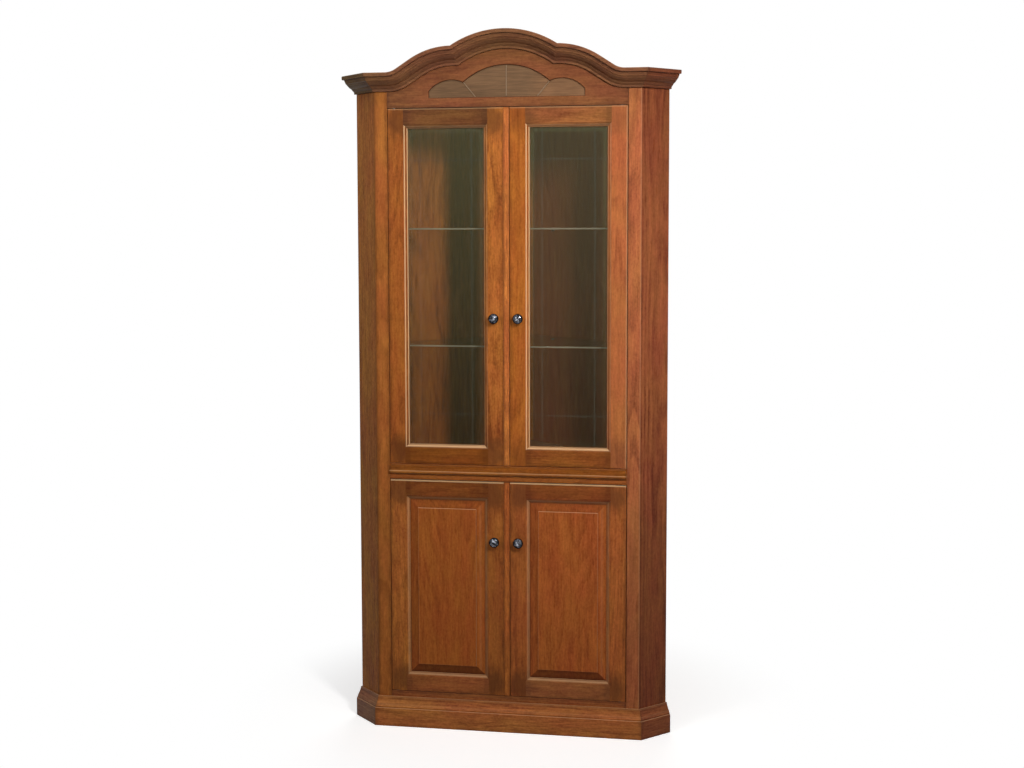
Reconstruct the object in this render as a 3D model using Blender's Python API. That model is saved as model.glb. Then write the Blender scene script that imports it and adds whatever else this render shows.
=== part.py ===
"""Corner hutch: glazed doors above panelled doors, on a plinth, under an arched crown.

Metres, +Z up. The front faces -Y. The model's origin is on the floor, below the middle of
the cabinet's box. Inside the cabinet empty, Y is 0 on the front face and X is 0 in its middle.
"""
import math

import bmesh
import bpy
from mathutils import Matrix, Vector

# Clearances and cuts
GAP = 0.0003
CUT_OVERRUN = 0.004
DOOR_GAP = 0.002

# Carcase plan
FACE_WIDTH = 0.812
RETURN_WIDTH = 0.108
STILE_WIDTH = 0.040
CASE_THICKNESS = 0.020
BACK_THICKNESS = 0.012
RETURN_ANGLE = math.radians(45)
CORNER_RADIUS = 0.010
CORNER_STEPS = 2

# Carcase heights, from the floor upwards
PLINTH_BOARD_HEIGHT = 0.058
PLINTH_CAP_HEIGHT = 0.0325
BOTTOM_RAIL_SHOWN = 0.0173
BOTTOM_RAIL_HEIGHT = 0.085
LOWER_DOOR_HEIGHT = 0.6642
WAIST_RAIL_HEIGHT = 0.048
UPPER_DOOR_HEIGHT = 1.082
FRIEZE_HEIGHT = 0.0495
CROWN_HEIGHT = 0.053
ARCH_RISE = 0.1215

# Decks and shelves
DECK_THICKNESS = 0.018
DECK_DROP = 0.0005
TOP_DECK_LIFT = 0.014
WOOD_SHELF_THICKNESS = 0.018
GLASS_SHELF_THICKNESS = 0.006
SHELF_SETBACK = 0.060
SHELF_CLEARANCE = 0.002
WOOD_SHELVES = 1
WOOD_SHELF_PITCH = 0.349
GLASS_SHELVES = 2
GLASS_SHELF_PITCH = 0.361
PEG_RADIUS = 0.003
PEG_LENGTH = 0.010
PEG_ROOT = 0.004
PEG_SIDES = 8
BACK_PEG_FROM_CORNER = 0.130

# Door frames, one section for all four doors
DOOR_THICKNESS = 0.020
DOOR_STILE_WIDTH = 0.0595
DOOR_RAIL_WIDTH = 0.060
STICKING_WIDTH = 0.012
STICKING_DEPTH = 0.0065
STICKING_SHARES = ((1.0, 0.0), (1.0, 0.23), (0.78, 0.31), (0.45, 0.62), (0.30, 1.0), (0.0, 1.0))
GROOVE_WIDTH = 0.0066
GROOVE_DEPTH = 0.009
GROOVE_FROM_FACE = 0.008
PANEL_SLACK = 0.001
PANEL_BEVEL = 0.026
PANEL_EDGE_FLAT = 0.0015
PANEL_FIELD_STEP = 0.0015
PANEL_FIELD_INSET = 0.0025
ASTRAGAL_WIDTH = 0.018
ASTRAGAL_PROUD = 0.002
ASTRAGAL_CHAMFER = 0.004

# Glass panes and the lines cut in them
PANE_THICKNESS = 0.006
PANE_LINE_WIDTH = 0.004
PANE_LINE_DEPTH = 0.0012
PANE_LINE_SIDE_INSET = 0.038
PANE_LINE_END_INSET = 0.095

# Pivot hinges
PIVOT_INSET = 0.018
PIVOT_FROM_FACE = 0.007
PIVOT_PIN_RADIUS = 0.003
PIVOT_RUNNING_CLEARANCE = 0.0001
PIVOT_PIN_REACH = 0.010
PIVOT_HOLE_SPARE = 0.003
PIVOT_COLLAR_RADIUS = 0.005
PIVOT_PLATE_LENGTH = 0.028
PIVOT_PLATE_WIDTH = 0.010
PIVOT_PLATE_THICKNESS = 0.0025
PIVOT_SIDES = 24

# Knobs
KNOB_RADIUS = 0.0155
KNOB_REACH = 0.028
KNOB_NECK_RADIUS = 0.006
KNOB_FOOT_RADIUS = 0.0085
KNOB_SCREW_RADIUS = 0.002
KNOB_SCREW_LENGTH = 0.009
KNOB_STEPS = 20
KNOB_HEAD_SHARES = ((0.95, 0.55), (1.0, 0.68), (0.93, 0.82), (0.70, 0.94), (0.36, 0.99))
KNOB_OFF_CENTRE = 0.003
UPPER_KNOB_FROM_BOTTOM = 0.449
LOWER_KNOB_FROM_TOP = 0.183

# Crown moulding: shares of its height above the lower edge and of its projection
CROWN_PROJECTION = 0.052
CROWN_SHARES = (
    (0.0, 0.15), (0.13, 0.165), (0.16, 0.21), (0.30, 0.32), (0.42, 0.54), (0.45, 0.60),
    (0.50, 0.68), (0.59, 0.76), (0.70, 0.82), (0.80, 0.845), (0.815, 0.98), (1.0, 1.0),
)
MIDDLE_LOBE_RADIUS = 0.297
SIDE_LOBE_X = 0.159
SIDE_LOBE_DROP = 0.047
SIDE_LOBE_RADIUS = 0.230
ARCH_SLOPE = math.radians(33)
FOOT_RADIUS = 0.060
CROWN_REVEAL = 0.006
MIDDLE_LOBE_STEPS = 16
SIDE_LOBE_STEPS = 6
FOOT_STEPS = 5

# Fan inlay in the frieze
FAN_LIFT = 0.029
FAN_HALF_WIDTH = 0.236
FAN_MARGIN = 0.047
FAN_LOBE_X = 0.167
FAN_LOBE_HEIGHT = 0.0525
FAN_LOBE_RADIUS = 0.090
FAN_DEPTH = 0.012
FAN_RECESS = 0.004
FAN_LINE_WIDTH = 0.005
FAN_LINE_DEPTH = 0.002
FAN_RAY_FOOT_X = 0.093
FAN_STEPS = 8

# Waist moulding: shares of its height and of its projection
WAIST_MOULDING_HEIGHT = 0.029
WAIST_MOULDING_LIFT = 0.017
WAIST_MOULDING_PROJECTION = 0.013
WAIST_SHARES = (
    (0.0, 0.30), (0.14, 0.36), (0.22, 0.62), (0.34, 0.90), (0.50, 1.0), (0.60, 0.98), (0.66, 0.84), (0.85, 0.60),
    (1.0, 0.50),
)

# Plinth: a flat board with a moulded top edge
PLINTH_PROJECTION = 0.021
PLINTH_CAP_SHARES = (
    (0.0, 1.0), (0.03, 0.88), (0.12, 0.86), (0.30, 0.72), (0.50, 0.50), (0.70, 0.35), (0.84, 0.29),
    (0.86, 0.24), (1.0, 0.22),
)

# Magnetic catches
CATCH_LENGTH = 0.052
CATCH_DEPTH = 0.014
CATCH_HEIGHT = 0.026
CATCH_DROP = 0.013
CATCH_EDGE = 0.002

# Colours, roughness, metallic value and alpha of each finish
CHERRY = ((0.30, 0.105, 0.035), 0.38, 0.0, 1.0)
CHERRY_DARK = ((0.17, 0.060, 0.028), 0.40, 0.0, 1.0)
WALNUT = ((0.12, 0.085, 0.060), 0.55, 0.0, 1.0)
GLASS = ((0.80, 0.85, 0.82), 0.05, 0.0, 0.35)
BRONZE = ((0.05, 0.04, 0.035), 0.25, 1.0, 1.0)
STEEL = ((0.55, 0.55, 0.56), 0.30, 1.0, 1.0)
BROWN_PLASTIC = ((0.09, 0.05, 0.03), 0.55, 0.0, 1.0)

# Places worked out from the sizes above
FACE_HALF = FACE_WIDTH / 2
RETURN_RUN = RETURN_WIDTH * math.cos(RETURN_ANGLE)
OPENING_HALF = FACE_HALF - STILE_WIDTH
WALL_CORNER_Y = FACE_HALF + 2 * RETURN_RUN
MITRE = math.tan(RETURN_ANGLE / 2)
BOTTOM_RAIL_TOP = PLINTH_BOARD_HEIGHT + PLINTH_CAP_HEIGHT + BOTTOM_RAIL_SHOWN
LOWER_DOOR_LOW = BOTTOM_RAIL_TOP + DOOR_GAP
LOWER_DOOR_HIGH = LOWER_DOOR_LOW + LOWER_DOOR_HEIGHT
WAIST_RAIL_LOW = LOWER_DOOR_HIGH + DOOR_GAP
WAIST_RAIL_TOP = WAIST_RAIL_LOW + WAIST_RAIL_HEIGHT
UPPER_DOOR_LOW = WAIST_RAIL_TOP + DOOR_GAP
UPPER_DOOR_HIGH = UPPER_DOOR_LOW + UPPER_DOOR_HEIGHT
HEADER_LOW = UPPER_DOOR_HIGH + DOOR_GAP
CROWN_BASE = HEADER_LOW + FRIEZE_HEIGHT
TOTAL_HEIGHT = CROWN_BASE + CROWN_HEIGHT + ARCH_RISE
CASE_TOP = CROWN_BASE + CROWN_HEIGHT - CROWN_REVEAL
MIDDLE_LOBE_Z = TOTAL_HEIGHT - MIDDLE_LOBE_RADIUS
SIDE_LOBE_Z = TOTAL_HEIGHT - SIDE_LOBE_DROP - SIDE_LOBE_RADIUS
BOTTOM_DECK_TOP = BOTTOM_RAIL_TOP - DECK_DROP
MIDDLE_DECK_TOP = WAIST_RAIL_TOP - DECK_DROP
TOP_DECK_LOW = HEADER_LOW + TOP_DECK_LIFT
TOP_DECK_TOP = TOP_DECK_LOW + DECK_THICKNESS
DOOR_WIDTH = OPENING_HALF - (3 * DOOR_GAP + ASTRAGAL_WIDTH + GAP) / 2
SIGHT_WIDTH = DOOR_WIDTH - 2 * DOOR_STILE_WIDTH
PIVOT_X = OPENING_HALF - DOOR_GAP - PIVOT_INSET
BOX_MIDDLE_Y = (WALL_CORNER_Y - CROWN_PROJECTION) / 2


def world_place(obj):
    """Place of an unrotated object, summed up its parents."""
    place = Vector((0, 0, 0))
    while obj:
        place += obj.location
        obj = obj.parent
    return place


def add_empty(name, place, parent=None):
    """Empty at a place given in the cabinet's coordinates."""
    empty = bpy.data.objects.new(name, None)
    bpy.context.scene.collection.objects.link(empty)
    empty.parent = parent
    empty.location = Vector(place)
    if parent:
        empty.location = Vector(place) - (world_place(parent) - world_place(root_of(parent)))
    return empty


def root_of(obj):
    """Topmost parent of an object."""
    while obj.parent:
        obj = obj.parent
    return obj


def add_object(name, mesh_data, parent, origin=(0, 0, 0)):
    """Object whose mesh was drawn in the cabinet's coordinates, with its own origin."""
    bmesh.ops.translate(mesh_data, verts=mesh_data.verts, vec=-Vector(origin))
    bmesh.ops.recalc_face_normals(mesh_data, faces=mesh_data.faces)
    mesh = bpy.data.meshes.new(name)
    mesh_data.to_mesh(mesh)
    mesh_data.free()
    obj = bpy.data.objects.new(name, mesh)
    bpy.context.scene.collection.objects.link(obj)
    obj.parent = parent
    obj.location = Vector(origin) - (world_place(parent) - world_place(root_of(parent)))
    return obj


def finish(obj, look):
    """Gives an object its own Principled material."""
    colour, roughness, metallic, alpha = look
    material = bpy.data.materials.new(obj.name + "_finish")
    material.use_nodes = True
    shader = material.node_tree.nodes["Principled BSDF"]
    shader.inputs["Base Color"].default_value = (*colour, 1)
    shader.inputs["Roughness"].default_value = roughness
    shader.inputs["Metallic"].default_value = metallic
    shader.inputs["Alpha"].default_value = alpha
    material.diffuse_color = (*colour, alpha)
    obj.data.materials.append(material)
    return obj


def box_mesh(low, high):
    """Box between two corners."""
    data = bmesh.new()
    low, high = Vector(low), Vector(high)
    size = high - low
    scale = Matrix.Diagonal((*size, 1))
    bmesh.ops.create_cube(data, size=1, matrix=Matrix.Translation((low + high) / 2) @ scale)
    return data


def plan_prism(outline, low, high):
    """Outline in plan, raised from one height to another."""
    data = bmesh.new()
    face = data.faces.new([data.verts.new((x, y, low)) for x, y in outline])
    raised = bmesh.ops.extrude_face_region(data, geom=[face])
    moved = [item for item in raised["geom"] if isinstance(item, bmesh.types.BMVert)]
    bmesh.ops.translate(data, verts=moved, vec=(0, 0, high - low))
    return data


def front_prism(outline, front, back):
    """Outline seen from the front, carried from one depth to another."""
    data = bmesh.new()
    face = data.faces.new([data.verts.new((x, front, z)) for x, z in outline])
    carried = bmesh.ops.extrude_face_region(data, geom=[face])
    moved = [item for item in carried["geom"] if isinstance(item, bmesh.types.BMVert)]
    bmesh.ops.translate(data, verts=moved, vec=(0, back - front, 0))
    return data


def loft(rings):
    """Skin over closed rings of equal counts, with a face on each end."""
    data = bmesh.new()
    rows = [[data.verts.new(point) for point in ring] for ring in rings]
    count = len(rows[0])
    for first, second in zip(rows, rows[1:]):
        for i in range(count):
            j = (i + 1) % count
            data.faces.new((first[i], first[j], second[j], second[i]))
    data.faces.new(rows[0])
    data.faces.new(reversed(rows[-1]))
    return data


def rod_mesh(start, end, radius, sides):
    """Faceted rod between two points."""
    start, end = Vector(start), Vector(end)
    axis = end - start
    turn = Vector((0, 0, 1)).rotation_difference(axis).to_matrix().to_4x4()
    data = bmesh.new()
    bmesh.ops.create_cone(
        data, cap_ends=True, segments=sides, radius1=radius, radius2=radius, depth=axis.length,
        matrix=Matrix.Translation((start + end) / 2) @ turn)
    return data


def add_cutter(name, data, parent, origin=(0, 0, 0)):
    """Guide that only cuts other pieces."""
    cutter = add_object(name, data, parent, origin)
    cutter.hide_render = True
    cutter.display_type = "WIRE"
    return cutter


def combine(obj, tool, operation):
    """Exact Boolean with another object."""
    modifier = obj.modifiers.new(tool.name, "BOOLEAN")
    modifier.operation = operation
    modifier.solver = "EXACT"
    modifier.object = tool


def smooth(obj, angle=math.radians(40)):
    """Smooth shading with sharp edges past an angle."""
    obj.data.shade_smooth()
    obj.data.set_sharp_from_angle(angle=angle)
    return obj


def along(side):
    """Direction in plan from a front corner to its wall."""
    return Vector((side * math.sin(RETURN_ANGLE), math.cos(RETURN_ANGLE)))


def outward(side):
    """Direction in plan that a canted side faces."""
    return Vector((side * math.cos(RETURN_ANGLE), -math.sin(RETURN_ANGLE)))


def mirrored(points, side):
    """Points on the right or, with X reversed, on the left."""
    return [(side * x, y) for x, y in points]


def corner_arc():
    """Right front corner eased in plan, from the front face to the mitre."""
    reach = CORNER_RADIUS * MITRE
    turn = RETURN_ANGLE / 2
    centre_x = FACE_HALF - reach
    angles = [turn * i / CORNER_STEPS for i in range(CORNER_STEPS + 1)]
    return [(centre_x + CORNER_RADIUS * math.sin(a), CORNER_RADIUS * (1 - math.cos(a))) for a in angles]


def reflected(point, side):
    """Point on the front half of a right corner, carried over its mitre to the canted side."""
    from_corner = Vector((FACE_HALF - point[0], point[1]))
    place = Vector((FACE_HALF, 0)) + along(1) * from_corner.x - outward(1) * from_corner.y
    return Vector((side * place.x, place.y))


def inner_outline(front, clearance):
    """Plan of a shelf or deck inside the carcase."""
    side_line = FACE_HALF - (CASE_THICKNESS + clearance) / math.cos(RETURN_ANGLE)
    back_line = WALL_CORNER_Y - (BACK_THICKNESS + clearance) / math.cos(RETURN_ANGLE)
    corner = ((back_line + side_line) / 2, (back_line - side_line) / 2)
    right = [(side_line + front, front), corner]
    left = [(-x, y) for x, y in reversed(right)]
    return right + [(0, back_line)] + left


def arch_sizes(offset):
    """Radii of the arch's curves at a height above the crown's lower edge."""
    inset = CROWN_HEIGHT - offset
    return MIDDLE_LOBE_RADIUS - inset, SIDE_LOBE_RADIUS - inset, FOOT_RADIUS + inset


def lobe_crossing(middle_radius, side_radius, side_x, side_z):
    """Upper crossing of the middle lobe's circle with a side lobe's circle."""
    step = Vector((side_x, side_z - MIDDLE_LOBE_Z))
    distance = step.length
    reach = (middle_radius ** 2 - side_radius ** 2 + distance ** 2) / (2 * distance)
    height = math.sqrt(middle_radius ** 2 - reach ** 2)
    unit = step / distance
    point = unit * reach + Vector((-unit.y, unit.x)) * height
    return point.x, point.y + MIDDLE_LOBE_Z


def arc(centre_x, centre_z, radius, start, end, steps):
    """Points of an arc, by angle from straight up towards +X."""
    points = []
    for i in range(steps + 1):
        angle = start + (end - start) * i / steps
        points.append((centre_x + radius * math.sin(angle), centre_z + radius * math.cos(angle)))
    return points


def half_arch(offset):
    """Right half of the arch, from the top of the middle lobe to the foot."""
    middle, side, foot = arch_sizes(offset)
    valley_x, valley_z = lobe_crossing(middle, side, SIDE_LOBE_X, SIDE_LOBE_Z)
    middle_end = math.asin(valley_x / middle)
    side_start = math.atan2(valley_x - SIDE_LOBE_X, valley_z - SIDE_LOBE_Z)
    points = arc(0, MIDDLE_LOBE_Z, middle, 0, middle_end, MIDDLE_LOBE_STEPS // 2)
    points += arc(SIDE_LOBE_X, SIDE_LOBE_Z, side, side_start, ARCH_SLOPE, SIDE_LOBE_STEPS)[1:]
    foot_z = CROWN_BASE + offset + foot
    start_x, start_z = points[-1]
    end_z = foot_z - foot * math.cos(ARCH_SLOPE)
    end_x = start_x + (start_z - end_z) / math.tan(ARCH_SLOPE)
    foot_x = end_x + foot * math.sin(ARCH_SLOPE)
    return points + arc(foot_x, foot_z, -foot, ARCH_SLOPE, 0, FOOT_STEPS)


def arch_outline(offset, half_width):
    """Arch from the left end to the right end, at a height above the crown's lower edge."""
    right = half_arch(offset) + [(half_width, CROWN_BASE + offset)]
    left = [(-x, z) for x, z in reversed(right[1:])]
    return left + right


def make_face_frame(cabinet):
    """Stiles at the front corners, and the rails between them."""
    half = OPENING_HALF - GAP
    for side, name in ((-1, "left"), (1, "right")):
        back_x = FACE_HALF - CASE_THICKNESS * MITRE
        outline = [(OPENING_HALF, 0)] + corner_arc() + [(back_x, CASE_THICKNESS), (OPENING_HALF, CASE_THICKNESS)]
        data = plan_prism(mirrored(outline, side), 0, CASE_TOP)
        finish(add_object(name + "_face_stile", data, cabinet, (side * OPENING_HALF, 0, 0)), CHERRY)
    header = arch_outline(CROWN_HEIGHT - CROWN_REVEAL, half) + [(half, HEADER_LOW), (-half, HEADER_LOW)]
    header_rail = add_object("header_rail", front_prism(header, 0, CASE_THICKNESS), cabinet, (0, 0, HEADER_LOW))
    finish(header_rail, CHERRY)
    waist_box = box_mesh((-half, 0, WAIST_RAIL_LOW), (half, CASE_THICKNESS, WAIST_RAIL_TOP))
    waist_rail = finish(add_object("waist_rail", waist_box, cabinet, (0, 0, WAIST_RAIL_LOW)), CHERRY)
    rail_low = BOTTOM_RAIL_TOP - BOTTOM_RAIL_HEIGHT
    bottom_box = box_mesh((-half, 0, rail_low), (half, CASE_THICKNESS, BOTTOM_RAIL_TOP))
    bottom_rail = finish(add_object("bottom_rail", bottom_box, cabinet, (0, 0, rail_low)), CHERRY)
    return header_rail, waist_rail, bottom_rail


def shelf_undersides():
    """Height of the underside of each loose shelf."""
    wood_first = BOTTOM_DECK_TOP - WOOD_SHELF_THICKNESS / 2
    glass_first = MIDDLE_DECK_TOP - GLASS_SHELF_THICKNESS / 2
    wood = [wood_first + WOOD_SHELF_PITCH * i for i in range(1, WOOD_SHELVES + 1)]
    glass = [glass_first + GLASS_SHELF_PITCH * i for i in range(1, GLASS_SHELVES + 1)]
    return wood, glass


def add_pegs(panel, face_point, inward, parent):
    """Shelf pegs glued into a panel, one under each loose shelf."""
    wood, glass = shelf_undersides()
    for number, underside in enumerate(wood + glass, 1):
        height = underside - GAP - PEG_RADIUS
        start = face_point - inward * PEG_ROOT
        end = face_point + inward * PEG_LENGTH
        rod = rod_mesh((*start, height), (*end, height), PEG_RADIUS, PEG_SIDES)
        peg = add_cutter(f"{panel.name}_peg_{number}", rod, parent)
        combine(panel, peg, "UNION")


def make_carcase(cabinet):
    """Canted sides, back panels and decks."""
    side_front = FACE_HALF - CASE_THICKNESS * MITRE
    shelf_side_y = (SHELF_SETBACK + inner_outline(0, GAP)[1][1]) / 2
    for side, name in ((-1, "left"), (1, "right")):
        ahead = along(side)
        out = outward(side)
        mitre_shift = ahead * GAP / math.cos(RETURN_ANGLE / 2)
        corner = Vector((side * FACE_HALF, 0))
        wall_end = corner + ahead * RETURN_WIDTH
        inner_front = Vector((side * side_front, CASE_THICKNESS))
        eased = [reflected(point, side) + mitre_shift for point in reversed(corner_arc())]
        outline = eased + [wall_end, wall_end - out * CASE_THICKNESS, inner_front + mitre_shift]
        panel = add_object(name + "_side_panel", plan_prism(outline, 0, CASE_TOP), cabinet, (*corner, 0))
        finish(panel, CHERRY_DARK)
        along_face = (shelf_side_y - CASE_THICKNESS) / math.cos(RETURN_ANGLE)
        add_pegs(panel, inner_front + ahead * along_face, -out, cabinet)
        wall_corner = Vector((0, WALL_CORNER_Y))
        stop = 0 if side < 0 else BACK_THICKNESS + GAP
        start = wall_end - out * (CASE_THICKNESS + GAP)
        end = wall_corner + out * stop
        outline = [start, end, end - ahead * BACK_THICKNESS, start - ahead * BACK_THICKNESS]
        back = add_object(name + "_back_panel", plan_prism(outline, 0, TOP_DECK_TOP), cabinet, (*wall_corner, 0))
        finish(back, CHERRY_DARK)
        peg_foot = wall_corner + out * BACK_PEG_FROM_CORNER - ahead * BACK_THICKNESS
        add_pegs(back, peg_foot, -ahead, cabinet)
    outline = inner_outline(CASE_THICKNESS + GAP, GAP)
    decks = (("bottom_deck", BOTTOM_DECK_TOP), ("middle_deck", MIDDLE_DECK_TOP), ("top_deck", TOP_DECK_TOP))
    for name, top in decks:
        data = plan_prism(outline, top - DECK_THICKNESS, top)
        finish(add_object(name, data, cabinet, (0, CASE_THICKNESS, top - DECK_THICKNESS)), CHERRY_DARK)


def make_shelves(cabinet):
    """Loose shelves that lie on pegs: wood below, glass above."""
    wood, glass = shelf_undersides()
    outline = inner_outline(SHELF_SETBACK, SHELF_CLEARANCE)
    for number, low in enumerate(wood, 1):
        data = plan_prism(outline, low, low + WOOD_SHELF_THICKNESS)
        finish(add_object(f"wood_shelf_{number}", data, cabinet, (0, SHELF_SETBACK, low)), CHERRY_DARK)
    for number, low in enumerate(glass, 1):
        data = plan_prism(outline, low, low + GLASS_SHELF_THICKNESS)
        finish(add_object(f"glass_shelf_{number}", data, cabinet, (0, SHELF_SETBACK, low)), GLASS)


def moulding_rings(profile, path):
    """Rings of a profile of heights and projections, set square to a path in plan."""
    rings = []
    for point, reach in path:
        rings.append([(*(point + reach * projection), height) for height, projection in profile])
    return rings


def closed_profile(shares, height, projection, base):
    """Profile from shares of its height and projection, with a flat back."""
    points = [(base, GAP)]
    points += [(base + rise * height, out * projection) for rise, out in shares]
    return points + [(base + height, GAP)]


def add_return(name, profile, side, cabinet, look):
    """Straight moulding on a canted side, mitred at the front corner."""
    corner = Vector((side * FACE_HALF, 0))
    wall_end = corner + along(side) * RETURN_WIDTH
    mitre_reach = Vector((side * MITRE, -1))
    start = corner + along(side) * GAP
    rings = moulding_rings(profile, ((start, mitre_reach), (wall_end, outward(side))))
    return finish(add_object(name, loft(rings), cabinet, (*corner, profile[0][0])), look)


def make_crown(cabinet):
    """Arched crown on the front, with a straight return on each canted side."""
    profile = closed_profile(CROWN_SHARES, CROWN_HEIGHT, CROWN_PROJECTION, 0)
    columns = [arch_outline(offset, FACE_HALF + projection * MITRE) for offset, projection in profile]
    rings = []
    for station in range(len(columns[0])):
        ring = []
        for (_offset, projection), column in zip(profile, columns):
            x, z = column[station]
            ring.append((x, -projection, z))
        rings.append(ring)
    front = add_object("front_crown", loft(rings), cabinet, (0, 0, CROWN_BASE))
    finish(smooth(front), CHERRY_DARK)
    profile = closed_profile(CROWN_SHARES, CROWN_HEIGHT, CROWN_PROJECTION, CROWN_BASE)
    for side, name in ((-1, "left"), (1, "right")):
        add_return(name + "_crown_return", profile, side, cabinet, CHERRY_DARK)


def make_plinth(cabinet):
    """Plinth board with a moulded cap, in three lengths."""
    cap = [(rise * PLINTH_CAP_HEIGHT, out * PLINTH_PROJECTION) for rise, out in PLINTH_CAP_SHARES]
    profile = [(0, GAP), (0, PLINTH_PROJECTION)]
    profile += [(PLINTH_BOARD_HEIGHT + rise, out) for rise, out in cap]
    profile += [(PLINTH_BOARD_HEIGHT + PLINTH_CAP_HEIGHT, GAP)]
    ends = []
    for side in (-1, 1):
        ends.append((Vector((side * FACE_HALF, 0)), Vector((side * MITRE, -1))))
    front = add_object("front_plinth", loft(moulding_rings(profile, ends)), cabinet)
    finish(front, CHERRY)
    for side, name in ((-1, "left"), (1, "right")):
        add_return(name + "_plinth_return", profile, side, cabinet, CHERRY_DARK)


def make_waist_moulding(cabinet):
    """Moulding across the waist rail, with its profile returned at both ends."""
    base = WAIST_RAIL_LOW + WAIST_MOULDING_LIFT
    profile = closed_profile(WAIST_SHARES, WAIST_MOULDING_HEIGHT, WAIST_MOULDING_PROJECTION, base)
    half = OPENING_HALF - WAIST_MOULDING_PROJECTION
    rings = []
    for side, at_back in ((-1, True), (-1, False), (1, False), (1, True)):
        ring = []
        for height, projection in profile:
            depth = GAP if at_back else projection
            ring.append((side * (half + projection), -depth, height))
        rings.append(ring)
    data = loft(rings)
    bmesh.ops.remove_doubles(data, verts=data.verts, dist=GAP / 10)
    finish(add_object("waist_moulding", data, cabinet, (0, 0, base)), CHERRY)


def line_cutter(name, start, end, width, depth, face, parent):
    """Long wedge that cuts a V line into a face turned to the front."""
    start, end = Vector(start), Vector(end)
    ahead = (end - start).normalized()
    across = Vector((-ahead.y, ahead.x))
    start = start - ahead * CUT_OVERRUN
    end = end + ahead * CUT_OVERRUN
    flare = width / 2 * (1 + CUT_OVERRUN / depth)
    rings = []
    for point in (start, end):
        left, right = point - across * flare, point + across * flare
        front = face - CUT_OVERRUN
        rings.append([(left.x, front, left.y), (right.x, front, right.y), (point.x, face + depth, point.y)])
    return add_cutter(name, loft(rings), parent)


def fan_outline(inset):
    """Three-lobed outline of the fan, brought in all round by an inset."""
    low = HEADER_LOW + FAN_LIFT
    middle_radius = MIDDLE_LOBE_RADIUS - CROWN_HEIGHT - FAN_MARGIN - inset
    lobe_radius = FAN_LOBE_RADIUS - inset
    lobe_z = low + FAN_LOBE_HEIGHT - FAN_LOBE_RADIUS
    half = FAN_HALF_WIDTH - inset
    valley_x, valley_z = lobe_crossing(middle_radius, lobe_radius, FAN_LOBE_X, lobe_z)
    points = arc(0, MIDDLE_LOBE_Z, middle_radius, 0, math.asin(valley_x / middle_radius), FAN_STEPS)
    lobe_start = math.atan2(valley_x - FAN_LOBE_X, valley_z - lobe_z)
    lobe_end = math.asin((half - FAN_LOBE_X) / lobe_radius)
    points += arc(FAN_LOBE_X, lobe_z, lobe_radius, lobe_start, lobe_end, FAN_STEPS)[1:]
    points.append((half, low + inset))
    left = [(-x, z) for x, z in reversed(points[1:])]
    return left + points, (valley_x, valley_z)


def make_fan(header_rail, cabinet):
    """Fan inlay, sunk in a pocket of the header rail and scored into leaves."""
    low = HEADER_LOW + FAN_LIFT
    outline, _valley = fan_outline(0)
    pocket = add_cutter("fan_pocket", front_prism(outline, -CUT_OVERRUN, FAN_DEPTH), cabinet)
    combine(header_rail, pocket, "DIFFERENCE")
    outline, valley = fan_outline(GAP)
    data = front_prism(outline, FAN_RECESS, FAN_DEPTH - GAP)
    fan = finish(add_object("fan_inlay", data, cabinet, (0, FAN_RECESS, low)), WALNUT)
    top = MIDDLE_LOBE_Z + MIDDLE_LOBE_RADIUS - CROWN_HEIGHT - FAN_MARGIN
    lines = [((0, low), (0, top))]
    lines += [((side * FAN_RAY_FOOT_X, low), (side * valley[0], valley[1])) for side in (-1, 1)]
    for number, (start, end) in enumerate(lines, 1):
        cutter = line_cutter(
            f"fan_line_{number}", start, end, FAN_LINE_WIDTH, FAN_LINE_DEPTH, FAN_RECESS, cabinet)
        combine(fan, cutter, "DIFFERENCE")


def rectangle(centre_x, centre_z, half_width, half_height, depth):
    """Corners of a rectangle seen from the front."""
    signs = ((-1, -1), (1, -1), (1, 1), (-1, 1))
    return [(centre_x + i * half_width, depth, centre_z + j * half_height) for i, j in signs]


def opening_cutters(name, centre, half_width, half_height, door):
    """Cutters of a door frame's moulded inner edge and of its panel groove."""
    rings = [rectangle(*centre, half_width + STICKING_WIDTH, half_height + STICKING_WIDTH, -CUT_OVERRUN)]
    for out, deep in STICKING_SHARES[1:-1]:
        grow = out * STICKING_WIDTH
        rings.append(rectangle(*centre, half_width + grow, half_height + grow, deep * STICKING_DEPTH))
    moulding = add_cutter(name + "_edge_cutter", loft(rings), door)
    reach = GROOVE_DEPTH
    low = (centre[0] - half_width - reach, GROOVE_FROM_FACE, centre[1] - half_height - reach)
    high = (centre[0] + half_width + reach, GROOVE_FROM_FACE + GROOVE_WIDTH, centre[1] + half_height + reach)
    groove = add_cutter(name + "_groove_cutter", box_mesh(low, high), door)
    return moulding, groove


def add_raised_panel(name, centre, half_width, half_height, door):
    """Raised panel whose tongue lies in the frame's groove."""
    tongue = GROOVE_DEPTH - PANEL_SLACK
    front = GROOVE_FROM_FACE + GAP
    back = GROOVE_FROM_FACE + GROOVE_WIDTH - GAP
    steps = (
        (tongue, back),
        (tongue, front),
        (-PANEL_EDGE_FLAT, front),
        (-PANEL_BEVEL, PANEL_FIELD_INSET + PANEL_FIELD_STEP),
        (-PANEL_BEVEL, PANEL_FIELD_INSET),
    )
    rings = [rectangle(*centre, half_width + grow, half_height + grow, depth) for grow, depth in steps]
    data = loft(rings)
    return finish(add_object(name, data, door, (centre[0], GROOVE_FROM_FACE, centre[1])), CHERRY)


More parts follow.
